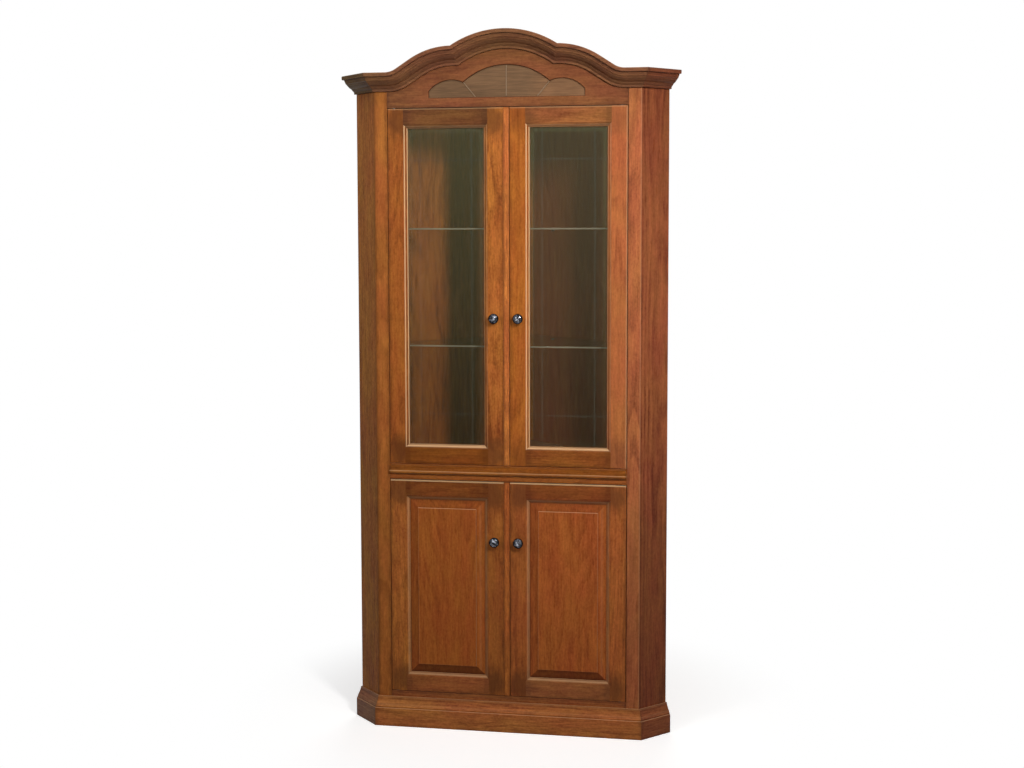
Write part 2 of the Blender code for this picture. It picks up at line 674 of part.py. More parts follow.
def add_pane(name, centre, half_width, half_height, door):
    """Glass pane in the frame's groove, with two upright and two level cut lines."""
    tongue = GROOVE_DEPTH - PANEL_SLACK
    front = GROOVE_FROM_FACE + GAP
    low = (centre[0] - half_width - tongue, front, centre[1] - half_height - tongue)
    high = (centre[0] + half_width + tongue, front + PANE_THICKNESS, centre[1] + half_height + tongue)
    pane = finish(add_object(name, box_mesh(low, high), door, (centre[0], front, centre[1])), GLASS)
    for number, side in enumerate((-1, 1), 1):
        x = centre[0] + side * (half_width - PANE_LINE_SIDE_INSET)
        ends = ((x, low[2]), (x, high[2]))
        cutter = line_cutter(f"{name}_upright_line_{number}", *ends, PANE_LINE_WIDTH, PANE_LINE_DEPTH, front, door)
        combine(pane, cutter, "DIFFERENCE")
        z = centre[1] + side * (half_height - PANE_LINE_END_INSET)
        ends = ((low[0], z), (high[0], z))
        cutter = line_cutter(f"{name}_level_line_{number}", *ends, PANE_LINE_WIDTH, PANE_LINE_DEPTH, front, door)
        combine(pane, cutter, "DIFFERENCE")
    return pane


def add_pivot(name, side, door_end, up, hinge_stile, rail, door):
    """Pivot let into the end of a hinge stile, with its pin in a hole of the rail."""
    axis = (side * PIVOT_X, PIVOT_FROM_FACE)
    plate_inner = door_end - up * PIVOT_PLATE_THICKNESS
    pocket_inner = plate_inner - up * GAP
    half = (PIVOT_PLATE_LENGTH / 2, PIVOT_PLATE_WIDTH / 2)

    def plate(grow, inner, outer):
        low = (axis[0] - half[0] - grow, axis[1] - half[1] - grow, min(inner, outer))
        high = (axis[0] + half[0] + grow, axis[1] + half[1] + grow, max(inner, outer))
        return box_mesh(low, high)

    pocket = add_cutter(name + "_pocket", plate(GAP, pocket_inner, door_end + up * CUT_OVERRUN), door)
    combine(hinge_stile, pocket, "DIFFERENCE")
    rail_face = door_end + up * DOOR_GAP
    hole_end = rail_face + up * (PIVOT_PIN_REACH + PIVOT_HOLE_SPARE)
    hole_radius = PIVOT_PIN_RADIUS / math.cos(math.pi / PIVOT_SIDES) + PIVOT_RUNNING_CLEARANCE
    hole = rod_mesh((*axis, rail_face - up * CUT_OVERRUN), (*axis, hole_end), hole_radius, PIVOT_SIDES)
    combine(rail, add_cutter(name + "_hole", hole, rail.parent), "DIFFERENCE")
    pivot = add_object(name, plate(0, plate_inner, door_end), door, (*axis, door_end))
    embed = PIVOT_PLATE_THICKNESS / 2
    collar_end = rail_face - up * GAP
    collar = rod_mesh((*axis, door_end - up * embed), (*axis, collar_end), PIVOT_COLLAR_RADIUS, PIVOT_SIDES)
    combine(pivot, add_cutter(name + "_collar", collar, door), "UNION")
    pin_end = rail_face + up * PIVOT_PIN_REACH
    pin = rod_mesh((*axis, door_end), (*axis, pin_end), PIVOT_PIN_RADIUS, PIVOT_SIDES)
    combine(pivot, add_cutter(name + "_pin", pin, door), "UNION")
    return finish(pivot, STEEL)


def add_knob(name, x, z, stile, door):
    """Turned knob with a screw that goes into the meeting stile."""
    foot = (KNOB_FOOT_RADIUS, 0.0)
    profile = [(0, -KNOB_SCREW_LENGTH), (KNOB_SCREW_RADIUS, -KNOB_SCREW_LENGTH), (KNOB_SCREW_RADIUS, 0), foot]
    profile += [(KNOB_FOOT_RADIUS, KNOB_FOOT_RADIUS / 5), (KNOB_NECK_RADIUS, KNOB_FOOT_RADIUS / 2)]
    profile += [(KNOB_NECK_RADIUS, KNOB_FOOT_RADIUS)]
    profile += [(out * KNOB_RADIUS, reach * KNOB_REACH) for out, reach in KNOB_HEAD_SHARES]
    profile += [(0, KNOB_REACH)]
    data = bmesh.new()
    points = [data.verts.new((x + radius, -GAP - reach, z)) for radius, reach in profile]
    edges = [data.edges.new(pair) for pair in zip(points, points[1:])]
    bmesh.ops.spin(
        data, geom=points + edges, cent=(x, 0, z), axis=(0, 1, 0), angle=2 * math.pi, steps=KNOB_STEPS)
    bmesh.ops.remove_doubles(data, verts=data.verts, dist=GAP / 10)
    knob = add_object(name, data, door, (x, 0, z))
    finish(smooth(knob), BRONZE)
    start = (x, -CUT_OVERRUN, z)
    end = (x, KNOB_SCREW_LENGTH + GAP, z)
    hole_radius = KNOB_SCREW_RADIUS / math.cos(math.pi / KNOB_STEPS) + GAP
    hole = add_cutter(name + "_hole", rod_mesh(start, end, hole_radius, KNOB_STEPS), door)
    combine(stile, hole, "DIFFERENCE")


def make_door(cabinet, level, side, low, high, knob_z, rails):
    """One framed door on its pivots; rails are those below and above it."""
    name = level + ("_left" if side < 0 else "_right")
    door = add_empty(name + "_door_axis", (side * PIVOT_X, PIVOT_FROM_FACE, low), cabinet)
    hinge_edge = side * (OPENING_HALF - DOOR_GAP)
    meeting_edge = hinge_edge - side * DOOR_WIDTH
    hinge_inner = hinge_edge - side * DOOR_STILE_WIDTH
    meeting_inner = meeting_edge + side * DOOR_STILE_WIDTH
    centre = ((hinge_inner + meeting_inner) / 2, (low + high) / 2)
    half_width = SIGHT_WIDTH / 2
    half_height = (high - low) / 2 - DOOR_RAIL_WIDTH

    def member(part, x_ends, z_ends):
        low_corner = (min(x_ends), 0, z_ends[0])
        data = box_mesh(low_corner, (max(x_ends), DOOR_THICKNESS, z_ends[1]))
        return finish(add_object(f"{name}_{part}", data, door, low_corner), CHERRY)

    hinge_stile = member("hinge_stile", (hinge_edge, hinge_inner), (low, high))
    meeting_stile = member("meeting_stile", (meeting_edge, meeting_inner), (low, high))
    rail_ends = (centre[0] - half_width + GAP, centre[0] + half_width - GAP)
    top_rail = member("top_rail", rail_ends, (high - DOOR_RAIL_WIDTH, high))
    bottom_rail = member("bottom_rail", rail_ends, (low, low + DOOR_RAIL_WIDTH))
    cutters = opening_cutters(name, centre, half_width, half_height, door)
    for piece in (hinge_stile, meeting_stile, top_rail, bottom_rail):
        for cutter in cutters:
            combine(piece, cutter, "DIFFERENCE")
    if level == "upper":
        add_pane(name + "_glass", centre, half_width, half_height, door)
    else:
        add_raised_panel(name + "_panel", centre, half_width, half_height, door)
    knob_x = (meeting_edge + meeting_inner) / 2 - side * KNOB_OFF_CENTRE
    add_knob(name + "_knob", knob_x, knob_z, meeting_stile, door)
    add_pivot(name + "_bottom_pivot", side, low, -1, hinge_stile, rails[0], door)
    add_pivot(name + "_top_pivot", side, high, 1, hinge_stile, rails[1], door)
    if side < 0:
        add_astragal(name + "_astragal", meeting_edge + GAP, low, high, door)


def add_astragal(name, start, low, high, door):
    """Strip on the free edge of a left door, its front corners eased."""
    end = start + ASTRAGAL_WIDTH
    front = -ASTRAGAL_PROUD
    outline = [
        (start, DOOR_THICKNESS),
        (start, front + ASTRAGAL_CHAMFER / 2),
        (start + ASTRAGAL_CHAMFER, front),
        (end - ASTRAGAL_CHAMFER, front),
        (end, front + ASTRAGAL_CHAMFER / 2),
        (end, DOOR_THICKNESS),
    ]
    finish(add_object(name, plan_prism(outline, low, high), door, (start, 0, low)), CHERRY)


def make_catch(name, rail_low, cabinet):
    """Double magnetic catch on the back of a rail, behind the meeting stiles."""
    middle = OPENING_HALF - 2 * DOOR_GAP - DOOR_WIDTH
    low = (middle - CATCH_LENGTH / 2, CASE_THICKNESS + GAP, rail_low - CATCH_DROP)
    high = (middle + CATCH_LENGTH / 2, CASE_THICKNESS + GAP + CATCH_DEPTH, rail_low - CATCH_DROP + CATCH_HEIGHT)
    data = box_mesh(low, high)
    edges = [edge for edge in data.edges if min(v.co.y for v in edge.verts) > (low[1] + high[1]) / 2]
    bmesh.ops.bevel(data, geom=edges, offset=CATCH_EDGE, segments=1, affect="EDGES")
    finish(add_object(name, data, cabinet, (middle, CASE_THICKNESS, rail_low)), BROWN_PLASTIC)


def main():
    for obj in list(bpy.data.objects):
        bpy.data.objects.remove(obj, do_unlink=True)
    cabinet = add_empty("cabinet", (0, -BOX_MIDDLE_Y, 0))
    header_rail, waist_rail, bottom_rail = make_face_frame(cabinet)
    make_carcase(cabinet)
    make_shelves(cabinet)
    make_crown(cabinet)
    make_plinth(cabinet)
    make_waist_moulding(cabinet)
    make_fan(header_rail, cabinet)
    upper_knob_z = UPPER_DOOR_LOW + UPPER_KNOB_FROM_BOTTOM
    lower_knob_z = LOWER_DOOR_HIGH - LOWER_KNOB_FROM_TOP
    for side in (-1, 1):
        upper_rails = (waist_rail, header_rail)
        lower_rails = (bottom_rail, waist_rail)
        make_door(cabinet, "upper", side, UPPER_DOOR_LOW, UPPER_DOOR_HIGH, upper_knob_z, upper_rails)
        make_door(cabinet, "lower", side, LOWER_DOOR_LOW, LOWER_DOOR_HIGH, lower_knob_z, lower_rails)
    make_catch("upper_catch", HEADER_LOW, cabinet)
    make_catch("lower_catch", WAIST_RAIL_LOW, cabinet)
    bpy.context.view_layer.update()


main()
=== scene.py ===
"""Corner hutch dressed for its picture: fine mouldings, eased boards, finishes, light and camera.

Metres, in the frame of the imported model: +Z up, and the front faces -Y. Every piece takes its
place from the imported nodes, and its fine shape from the sizes named below.
"""

import math

import bmesh
import bpy
from mathutils import Euler, Matrix, Vector


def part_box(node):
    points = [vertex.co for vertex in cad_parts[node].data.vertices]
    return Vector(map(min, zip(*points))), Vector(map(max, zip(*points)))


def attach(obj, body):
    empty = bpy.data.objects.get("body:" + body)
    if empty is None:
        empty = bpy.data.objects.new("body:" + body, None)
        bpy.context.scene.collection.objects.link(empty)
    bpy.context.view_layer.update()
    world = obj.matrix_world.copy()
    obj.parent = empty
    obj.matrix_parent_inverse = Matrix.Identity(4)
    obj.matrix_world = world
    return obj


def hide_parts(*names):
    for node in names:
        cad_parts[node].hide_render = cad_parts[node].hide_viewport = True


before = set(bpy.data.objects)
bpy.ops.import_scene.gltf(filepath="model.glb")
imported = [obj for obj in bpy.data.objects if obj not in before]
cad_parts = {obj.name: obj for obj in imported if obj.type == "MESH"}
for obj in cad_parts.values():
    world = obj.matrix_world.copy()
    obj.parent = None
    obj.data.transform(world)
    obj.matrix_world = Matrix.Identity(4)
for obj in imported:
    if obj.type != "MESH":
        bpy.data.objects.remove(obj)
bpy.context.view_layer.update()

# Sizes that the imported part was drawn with
GAP = 0.0003
STILE_WIDTH = 0.040
RETURN_ANGLE = math.radians(45)
RETURN_WIDTH = 0.108
DOOR_STILE_WIDTH = 0.0595
DOOR_RAIL_WIDTH = 0.060
DOOR_THICKNESS = 0.020
GROOVE_FROM_FACE = 0.008
GROOVE_WIDTH = 0.0066
GROOVE_DEPTH = 0.009
CROWN_HEIGHT = 0.053
MIDDLE_LOBE_RADIUS = 0.297
SIDE_LOBE_X = 0.159
SIDE_LOBE_DROP = 0.047
SIDE_LOBE_RADIUS = 0.230
ARCH_SLOPE = math.radians(33)
FOOT_RADIUS = 0.060
FAN_MARGIN = 0.047
FAN_LOBE_X = 0.167
FAN_LOBE_HEIGHT = 0.0525
FAN_LOBE_RADIUS = 0.090
FAN_RAY_FOOT_X = 0.093

# Eased edges and curves
PANE_BORDER = 0.022
BOARD_EASE = 0.0012
DOOR_EASE = 0.0014
GLASS_EASE = 0.0006
POCKET_EASE = 0.0020
# Painted highlight strips along front edges: their width, the cuts that bound them and the share that is
# painted
EDGE_HIGHLIGHT_WIDTH = 0.0042
EDGE_HIGHLIGHT_CUTS = (1.0, 0.8)
EDGE_HIGHLIGHT_SHARE = 0.9
# Share of the painted highlight lines on the stickings of door stiles and rails: full on the sides that face
# the light, less on the shaded sides
STILE_HIGHLIGHT = {"upper": 1.0, "lower": 0.33}
RAIL_HIGHLIGHT = {"upper": 1.0, "lower": 0.5}
SHADED_SIDE_HIGHLIGHT = 0.25
# Strength of the painted highlights on the doors' top edges, on the right face stile's outer corner, and on
# the right upper door's outer edge, where it lightens the gap's shade
TOP_EDGE_HIGHLIGHT = {"upper": 0.25, "lower": 1.1}
CORNER_HIGHLIGHT = 0.14
SIDE_EDGE_LIGHT = 0.30
EASE_STEPS = 3
ARC_STEPS = 5
MIDDLE_LOBE_STEPS = 44
SIDE_LOBE_STEPS = 16
FOOT_STEPS = 10
KNOB_STEPS = 48
STRING_RADIUS = 0.0015
STRING_SINK = 0.0004
STRING_SIDES = 10
SMOOTH_ANGLE = math.radians(28)
FLAT_ANGLE = math.radians(1)
EDGE_ANGLE = math.radians(50)
WELD = 0.00001
KNOB_TIP = 0.0002
# Reach and strength of the painted shade on the walls of the fan's pocket
POCKET_REACH = 0.004
POCKET_SHADE = 0.9
PEG_FACE = 0.012
CORNER_DEPTH = 1.2
CUT_LINE_NORMAL = 0.98
FRONT_NORMAL = -0.9

# Least length of the edges that are eased
TALL_EDGE = 1
PANEL_EDGE = 0.1
STRIP_EDGE = 0.3
SHORT_EDGE = 0.01

# Profiles: points in millimetres, an optional bulge for an arc that reaches the point, and an
# optional value from 1, for dark glaze and painted shade in a recess, to -1, for a rubbed edge and painted
# highlight
MILLIMETRE = 0.001
CROWN_PROFILE = (
    (0, 7.6, 0, 0.1), (0.5, 8.1, 0.2), (6.3, 8.6), (7.0, 9.6, 0, 0.15), (8.6, 11.2, 0, 0.1),
    (15.0, 17.6, 0.10, 0.2), (23.2, 29.4, 0.12, 0.35), (24.4, 30.4, 0, 0.4), (24.9, 32.0),
    (30.6, 38.0, -0.12), (37.2, 41.6, -0.14), (40.6, 42.6, 0, 0.1), (41.0, 43.0, 0, 0.2),
    (41.2, 50.0, 0, 0.2), (42.2, 51.2, -0.3, 0.12), (51.2, 52.0, 0, 0.12), (53.0, 50.4, -0.4, -0.2),
)
PLINTH_PROFILE = (
    (0, 20.4, 0, 0.6), (0.6, 21.0, 0.3), (55.8, 21.0), (57.6, 19.4, -0.35, -0.6),
    (58.4, 18.3, 0, 0.7), (61.4, 18.1), (67.0, 15.3, -0.16, -0.1), (74.2, 10.5, 0, 0.1),
    (81.0, 7.2, 0.10, 0.3), (85.2, 6.2, 0, 0.4), (85.8, 5.4, 0, -0.1), (89.6, 5.2, 0, -0.1),
    (90.5, 4.2, -0.3, -0.35),
)
WAIST_PROFILE = (
    (0, 4.0, 0, -0.35), (1.6, 5.2, 0, -0.4), (2.0, 8.4, 0, -0.1), (4.6, 10.8, -0.22),
    (9.0, 11.2, -0.10, -0.1), (11.8, 10.2, -0.22, -0.6), (12.2, 10.0, 0, 0.5), (17.0, 8.0, 0.10, 0.35),
    (17.6, 8.8, 0, 0.3), (23.4, 7.8, -0.14, 0.1), (27.6, 6.6, -0.12, 0.3), (29.0, 5.2, -0.3, -0.1),
)
STICKING_PROFILE = (
    (12.0, 0, 0), (11.7, 0.35, 0.4), (11.5, 1.10), (10.8, 1.30), (8.6, 1.90, 0.06), (6.6, 2.75, 0.10),
    (4.6, 4.40, 0.05), (3.4, 5.60, 0.05), (3.1, 6.10), (2.6, 6.20), (0.6, 6.60), (0.0, 7.30, 0.4), (0.0, 8.0),
)
# Glaze along the sticking's points: positive values are painted shade in its quirks, negative values are
# painted highlight lines, two on the upper doors' stiles and one on the others
TWO_LINES = (0.2, -0.3, 0.5, -0.9, -0.9, 0.0, 0.2, 0.1, 0.3, -0.9, -1.0, -0.5, 0.8)
ONE_LINE = (0.2, -0.1, 0.4, 0.0, -0.3, -1.0, -1.0, -0.9, -0.2, -0.3, -0.9, -0.3, 0.8)
PANEL_PROFILE = (
    (8.0, 14.3), (8.0, 8.4), (-0.8, 8.4, 0, 0.9), (-2.0, 8.2, 0, 0.2),
    (-14.0, 5.5, 0.02), (-25.0, 3.0, 0.02, 0.2), (-25.5, 2.8, 0, 0.8), (-25.8, 1.5),
    (-26.2, 1.0, -0.4, -0.9), (-27.2, 1.0, 0, -0.6), (-28.2, 1.0),
)
PANEL_STEP = -0.0255
# Painted shade on the panel's bevels by side, darkest on the bottom bevel that faces down and lighter on the
# right one that faces the key lamp; then the share of the painted highlight on the field's edge by side
BEVEL_SHADE = {"bottom": 0.80, "right": -0.10, "top": 0.28, "left": 0.15}
FIELD_HIGHLIGHT = {"bottom": 0.1, "right": 0.35, "top": 1.0, "left": 0.2}
PANEL_SIDES = {
    "bottom": ((-1, -1), (1, -1)),
    "right": ((1, -1), (1, 1)),
    "top": ((1, 1), (-1, 1)),
    "left": ((-1, 1), (-1, -1)),
}
# In the knob's profile the negative values mark where the bronze is worn bright, which also paints its
# highlights
KNOB_PROFILE = (
    (0, -9.0), (2.0, -9.0), (2.0, 0), (8.4, 0), (8.5, 1.0, -0.3), (7.9, 1.9, -0.3), (6.0, 4.6, 0.25),
    (5.9, 8.6, 0.1), (7.4, 11.4, 0.15), (13.6, 14.2, -0.12), (15.5, 18.6, -0.30),
    (13.2, 23.2, -0.28, -0.05), (9.6, 25.4, -0.12, -0.55), (9.0, 25.0), (8.2, 25.6, 0, -0.3),
    (5.6, 27.4, -0.14, -0.7), (0.1, 28.0, -0.08, -1.0),
)


def box(node):
    """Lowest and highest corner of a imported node."""
    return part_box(node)


FACE_Y = box("header_rail")[0].y
OPENING_HALF = box("right_face_stile")[0].x
FACE_HALF = OPENING_HALF + STILE_WIDTH
CASE_THICKNESS = box("header_rail")[1].y - FACE_Y
CROWN_BASE = box("front_crown")[0].z
TOTAL_HEIGHT = box("front_crown")[1].z
MIDDLE_LOBE_Z = TOTAL_HEIGHT - MIDDLE_LOBE_RADIUS
SIDE_LOBE_Z = TOTAL_HEIGHT - SIDE_LOBE_DROP - SIDE_LOBE_RADIUS
MITRE = math.tan(RETURN_ANGLE / 2)


def trace(points, unit=MILLIMETRE):
    """Profile points with arcs: each result is (first, second, glaze with painted light and shade)."""
    traced = []
    for point in points:
        first, second, bulge, glaze_and_light = (*point, 0, 0)[:4]
        if bulge and traced:
            start, end = Vector(traced[-1][:2]), Vector((first * unit, second * unit))
            chord = end - start
            lift = Vector((-chord.y, chord.x)) * bulge
            for i in range(1, ARC_STEPS):
                t = i / ARC_STEPS
                place = start + chord * t + lift * 2 * t * (1 - t)
                before = traced[-1][2]
                traced.append((place.x, place.y, before + (glaze_and_light - before) / (ARC_STEPS - i + 1)))
        traced.append((first * unit, second * unit, glaze_and_light))
    return traced


def along(side):
    """Direction in plan from a front corner to its wall."""
    return Vector((side * math.sin(RETURN_ANGLE), math.cos(RETURN_ANGLE)))


def outward(side):
    """Direction in plan that a canted side faces."""
    return Vector((side * math.cos(RETURN_ANGLE), -math.sin(RETURN_ANGLE)))


def new_data():
    """Empty mesh data with a place for each point's glaze and painted light and shade."""
    data = bmesh.new()
    data.verts.layers.float.new("glaze_and_light")
    return data


def add_point(data, place, glaze_and_light=0.0):
    """New point with its glaze and painted light and shade."""
    vert = data.verts.new(place)
    vert[data.verts.layers.float["glaze_and_light"]] = glaze_and_light
    return vert


def add_object(name, data):
    """New object in the scene."""
    obj = bpy.data.objects.new(name, data)
    bpy.context.scene.collection.objects.link(obj)
    return obj


def add_piece(name, data, body, materials, nodes=()):
    """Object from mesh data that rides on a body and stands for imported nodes."""
    bmesh.ops.recalc_face_normals(data, faces=data.faces)
    mesh = bpy.data.meshes.new(name)
    data.to_mesh(mesh)
    data.free()
    mesh.shade_smooth()
    mesh.set_sharp_from_angle(angle=SMOOTH_ANGLE)
    for material in materials:
        mesh.materials.append(material)
    obj = add_object(name, mesh)
    normals = obj.modifiers.new("normals", "WEIGHTED_NORMAL")
    normals.keep_sharp = True
    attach(obj, body)
    if nodes:
        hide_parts(*nodes)
    return obj


def skin(data, rows, closed=False):
    """Faces between neighbouring rows of points; a row may be a single point."""
    for first, second in zip(rows, rows[1:]):
        count = max(len(first), len(second))
        for i in range(count if closed else count - 1):
            around = ((first, i), (first, i + 1), (second, i + 1), (second, i))
            corners = [row[k % len(row)] for row, k in around]
            data.faces.new(list(dict.fromkeys(corners)))


def loft(rings):
    """Closed skin over rings of (point, glaze) pairs."""
    data = new_data()
    rows = [[add_point(data, *item) for item in ring] for ring in rings]
    skin(data, rows, closed=True)
    data.faces.new(rows[0])
    data.faces.new(reversed(rows[-1]))
    return data


def copy_of(node):
    """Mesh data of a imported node, with its flat faces whole again."""
    data = bmesh.new()
    data.from_mesh(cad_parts[node].data)
    bmesh.ops.remove_doubles(data, verts=data.verts, dist=WELD)
    bmesh.ops.dissolve_limit(data, angle_limit=FLAT_ANGLE, verts=data.verts, edges=data.edges)
    data.verts.layers.float.new("glaze_and_light")
    return data


def ease(data, radius, chosen):
    """Rounds the chosen sharp edges."""
    edges = [edge for edge in data.edges if edge.calc_face_angle(0) > EDGE_ANGLE and chosen(edge)]
    bmesh.ops.bevel(
        data, geom=edges, offset=radius, segments=EASE_STEPS, profile=0.5, affect="EDGES", clamp_overlap=True)
    return data


def longer_than(least):
    """Test for edges of a least length."""
    return lambda edge: edge.calc_length() > least


def lobe_crossing(middle_radius, side_radius, side_x, side_z):
    """Upper crossing of the middle lobe's circle with a side lobe's circle."""
    step = Vector((side_x, side_z - MIDDLE_LOBE_Z))
    distance = step.length
    reach = (middle_radius ** 2 - side_radius ** 2 + distance ** 2) / (2 * distance)
    height = math.sqrt(middle_radius ** 2 - reach ** 2)
    unit = step / distance
    point = unit * reach + Vector((-unit.y, unit.x)) * height
    return point.x, point.y + MIDDLE_LOBE_Z


def arc(centre_x, centre_z, radius, start, end, steps):
    """Points of an arc, by angle from straight up towards +X."""
    angles = [start + (end - start) * i / steps for i in range(steps + 1)]
    return [(centre_x + radius * math.sin(a), centre_z + radius * math.cos(a)) for a in angles]


def half_arch(offset):
    """Right half of the arch at a height above the crown's lower edge."""
    inset = CROWN_HEIGHT - offset
    middle, side, foot = MIDDLE_LOBE_RADIUS - inset, SIDE_LOBE_RADIUS - inset, FOOT_RADIUS + inset
    valley_x, valley_z = lobe_crossing(middle, side, SIDE_LOBE_X, SIDE_LOBE_Z)
    middle_end = math.asin(valley_x / middle)
    side_start = math.atan2(valley_x - SIDE_LOBE_X, valley_z - SIDE_LOBE_Z)
    points = arc(0, MIDDLE_LOBE_Z, middle, 0, middle_end, MIDDLE_LOBE_STEPS // 2)
    points += arc(SIDE_LOBE_X, SIDE_LOBE_Z, side, side_start, ARCH_SLOPE, SIDE_LOBE_STEPS)[1:]
    foot_z = CROWN_BASE + offset + foot
    start_x, start_z = points[-1]
    end_z = foot_z - foot * math.cos(ARCH_SLOPE)
    end_x = start_x + (start_z - end_z) / math.tan(ARCH_SLOPE)
    foot_x = end_x + foot * math.sin(ARCH_SLOPE)
    return points + arc(foot_x, foot_z, -foot, ARCH_SLOPE, 0, FOOT_STEPS)


def arch_outline(offset, half_width):
    """Arch from the left end to the right end, at a height above the crown's lower edge."""
    right = half_arch(offset) + [(half_width, CROWN_BASE + offset)]
    left = [(-x, z) for x, z in reversed(right[1:])]
    return left + right


def closed_profile(points, base):
    """Traced profile of heights and projections with a flat back, from a base height."""
    traced = trace(points)
    first, last = traced[0], traced[-1]
    rows = [(base + height, out, glaze_and_light) for height, out, glaze_and_light in traced]
    return [(base + first[0], GAP, 0.0)] + rows + [(base + last[0], GAP, 0.0)]


def moulding(profile, path):
    """Rings of a profile set square to a path in plan."""
    rings = []
    for point, reach in path:
        rings.append([((*(point + reach * out), height), glaze_and_light) for height, out, glaze_and_light in profile])
    return loft(rings)


def add_wood(node, ending, data, body="cabinet"):
    """Piece of cherry that stands for the node of its name."""
    add_piece(node + ending, data, body, [wood(node)], [node])


def make_crown():
    """Arched crown and its two returns."""
    profile = closed_profile(CROWN_PROFILE, 0)
    columns = [arch_outline(height, FACE_HALF + out * MITRE) for height, out, _glaze_and_light in profile]
    rings = []
    for station in range(len(columns[0])):
        ring = []
        for (_height, out, glaze_and_light), column in zip(profile, columns):
            x, z = column[station]
            ring.append(((x, FACE_Y - out, z), glaze_and_light))
        rings.append(ring)
    add_wood("front_crown", "_moulding", loft(rings))
    make_returns("crown_return", closed_profile(CROWN_PROFILE, CROWN_BASE))


def make_returns(part, profile):
    """Straight mouldings on the canted sides, mitred at the front corners."""
    for side, name in ((-1, "left_"), (1, "right_")):
        corner = Vector((side * FACE_HALF, FACE_Y))
        start = corner + along(side) * GAP
        wall_end = corner + along(side) * RETURN_WIDTH
        path = ((start, Vector((side * MITRE, -1))), (wall_end, outward(side)))
        add_wood(name + part, "_moulding", moulding(profile, path))


def make_plinth():
    """Plinth with its moulded cap, in three lengths."""
    profile = closed_profile(PLINTH_PROFILE, 0)
    path = [(Vector((side * FACE_HALF, FACE_Y)), Vector((side * MITRE, -1))) for side in (-1, 1)]
    add_wood("front_plinth", "_moulding", moulding(profile, path))
    make_returns("plinth_return", profile)


def make_waist_moulding():
    """Moulding across the waist rail, its profile returned at both ends."""
    low, high = box("waist_moulding")
    profile = closed_profile(WAIST_PROFILE, low.z)
    half = high.x - max(out for _height, out, _glaze_and_light in profile)
    rings = []
    for side, at_back in ((-1, True), (-1, False), (1, False), (1, True)):
        ring = []
        for height, out, glaze_and_light in profile:
            depth = GAP if at_back else out
            ring.append(((side * (half + out), FACE_Y - depth, height), glaze_and_light))
        rings.append(ring)
    data = loft(rings)
    bmesh.ops.remove_doubles(data, verts=data.verts, dist=WELD)
    add_wood("waist_moulding", "_bar", data)


def make_boards():
    """Flat boards of the carcase, with eased edges."""
    corner = FACE_HALF - BOARD_EASE * 2
    for name in ("left_face_stile", "right_face_stile", "left_side_panel", "right_side_panel"):
        data = copy_of(name)
        ease(data, BOARD_EASE, lambda edge: edge.calc_length() > TALL_EDGE and not near_corner(edge, corner))
        if name == "right_face_stile":
            # Painted highlight on the lit outer corner
            paint_edge_highlight(data, (FACE_HALF, 0, 0), (-1, 0, 0), CORNER_HIGHLIGHT)
        add_board(name, data)
    level_boards = ("waist_rail", "bottom_rail", "bottom_deck", "middle_deck", "top_deck", "wood_shelf_1")
    for names, least in ((level_boards, SHORT_EDGE), (("left_back_panel", "right_back_panel"), PANEL_EDGE)):
        for name in names:
            add_board(name, ease(copy_of(name), BOARD_EASE, longer_than(least)))
    data = copy_of("header_rail")
    low, high = box("fan_inlay")

    def at_pocket(edge):
        return all(abs(v.co.y - FACE_Y) < WELD and within(v.co, low, high, GAP * 2) for v in edge.verts)

    rim = ease(data, POCKET_EASE, at_pocket)
    layer = rim.verts.layers.float["glaze_and_light"]
    for vert in rim.verts:
        # Painted shade on the pocket's walls, none on the face around it
        if within(vert.co, low, high, POCKET_REACH):
            vert[layer] = 0.0 if abs(vert.co.y - FACE_Y) < WELD else POCKET_SHADE
    add_board("header_rail", rim)


def within(place, low, high, margin):
    """True for a place that lies inside a box, seen from the front, or within a margin of it."""
    return low.x - margin < place.x < high.x + margin and low.z - margin < place.z < high.z + margin


def near_corner(edge, least_x):
    """True for the edges at a canted corner, where two boards meet in one curve."""
    behind = FACE_Y + CASE_THICKNESS * CORNER_DEPTH
    return all(abs(v.co.x) > least_x - CASE_THICKNESS and v.co.y < behind for v in edge.verts)


def add_board(name, data):
    """Board that stands for the node of its name; pegs in it are steel."""
    for face in data.faces:
        if name.endswith("panel") and max(edge.calc_length() for edge in face.edges) < PEG_FACE:
            face.material_index = 1
    add_piece(name + "_board", data, "cabinet", [wood(name), FINISHES["steel"]], [name])


def make_fan():
    """Fan inlay with light strings along its leaves."""
    data = copy_of("fan_inlay")
    add_piece("fan_leaves", data, "cabinet", [FINISHES["walnut"]], ["fan_inlay"])
    low, high = box("fan_inlay")
    middle_radius = MIDDLE_LOBE_RADIUS - CROWN_HEIGHT - FAN_MARGIN
    lobe_z = low.z + FAN_LOBE_HEIGHT - FAN_LOBE_RADIUS
    valley_x, valley_z = lobe_crossing(middle_radius, FAN_LOBE_RADIUS, FAN_LOBE_X, lobe_z)
    depth = low.y + STRING_SINK
    inset = STRING_RADIUS
    lines = [((0, low.z), (0, high.z))]
    lines += [((side * FAN_RAY_FOOT_X, low.z), (side * valley_x, valley_z)) for side in (-1, 1)]
    for number, (start, end) in enumerate(lines, 1):
        start, end = Vector((start[0], depth, start[1])), Vector((end[0], depth, end[1]))
        ahead = (end - start).normalized()
        data = rod(start + ahead * inset, end - ahead * inset, STRING_RADIUS, STRING_SIDES)
        add_piece(f"fan_string_{number}", data, "cabinet", [FINISHES["string"]])


def rod(start, end, radius, sides):
    """Round rod between two points."""
    axis = end - start
    turn = Vector((0, 0, 1)).rotation_difference(axis).to_matrix().to_4x4()
    data = new_data()
    bmesh.ops.create_cone(
        data, cap_ends=True, segments=sides, radius1=radius, radius2=radius, depth=axis.length,
        matrix=Matrix.Translation((start + end) / 2) @ turn)
    return data


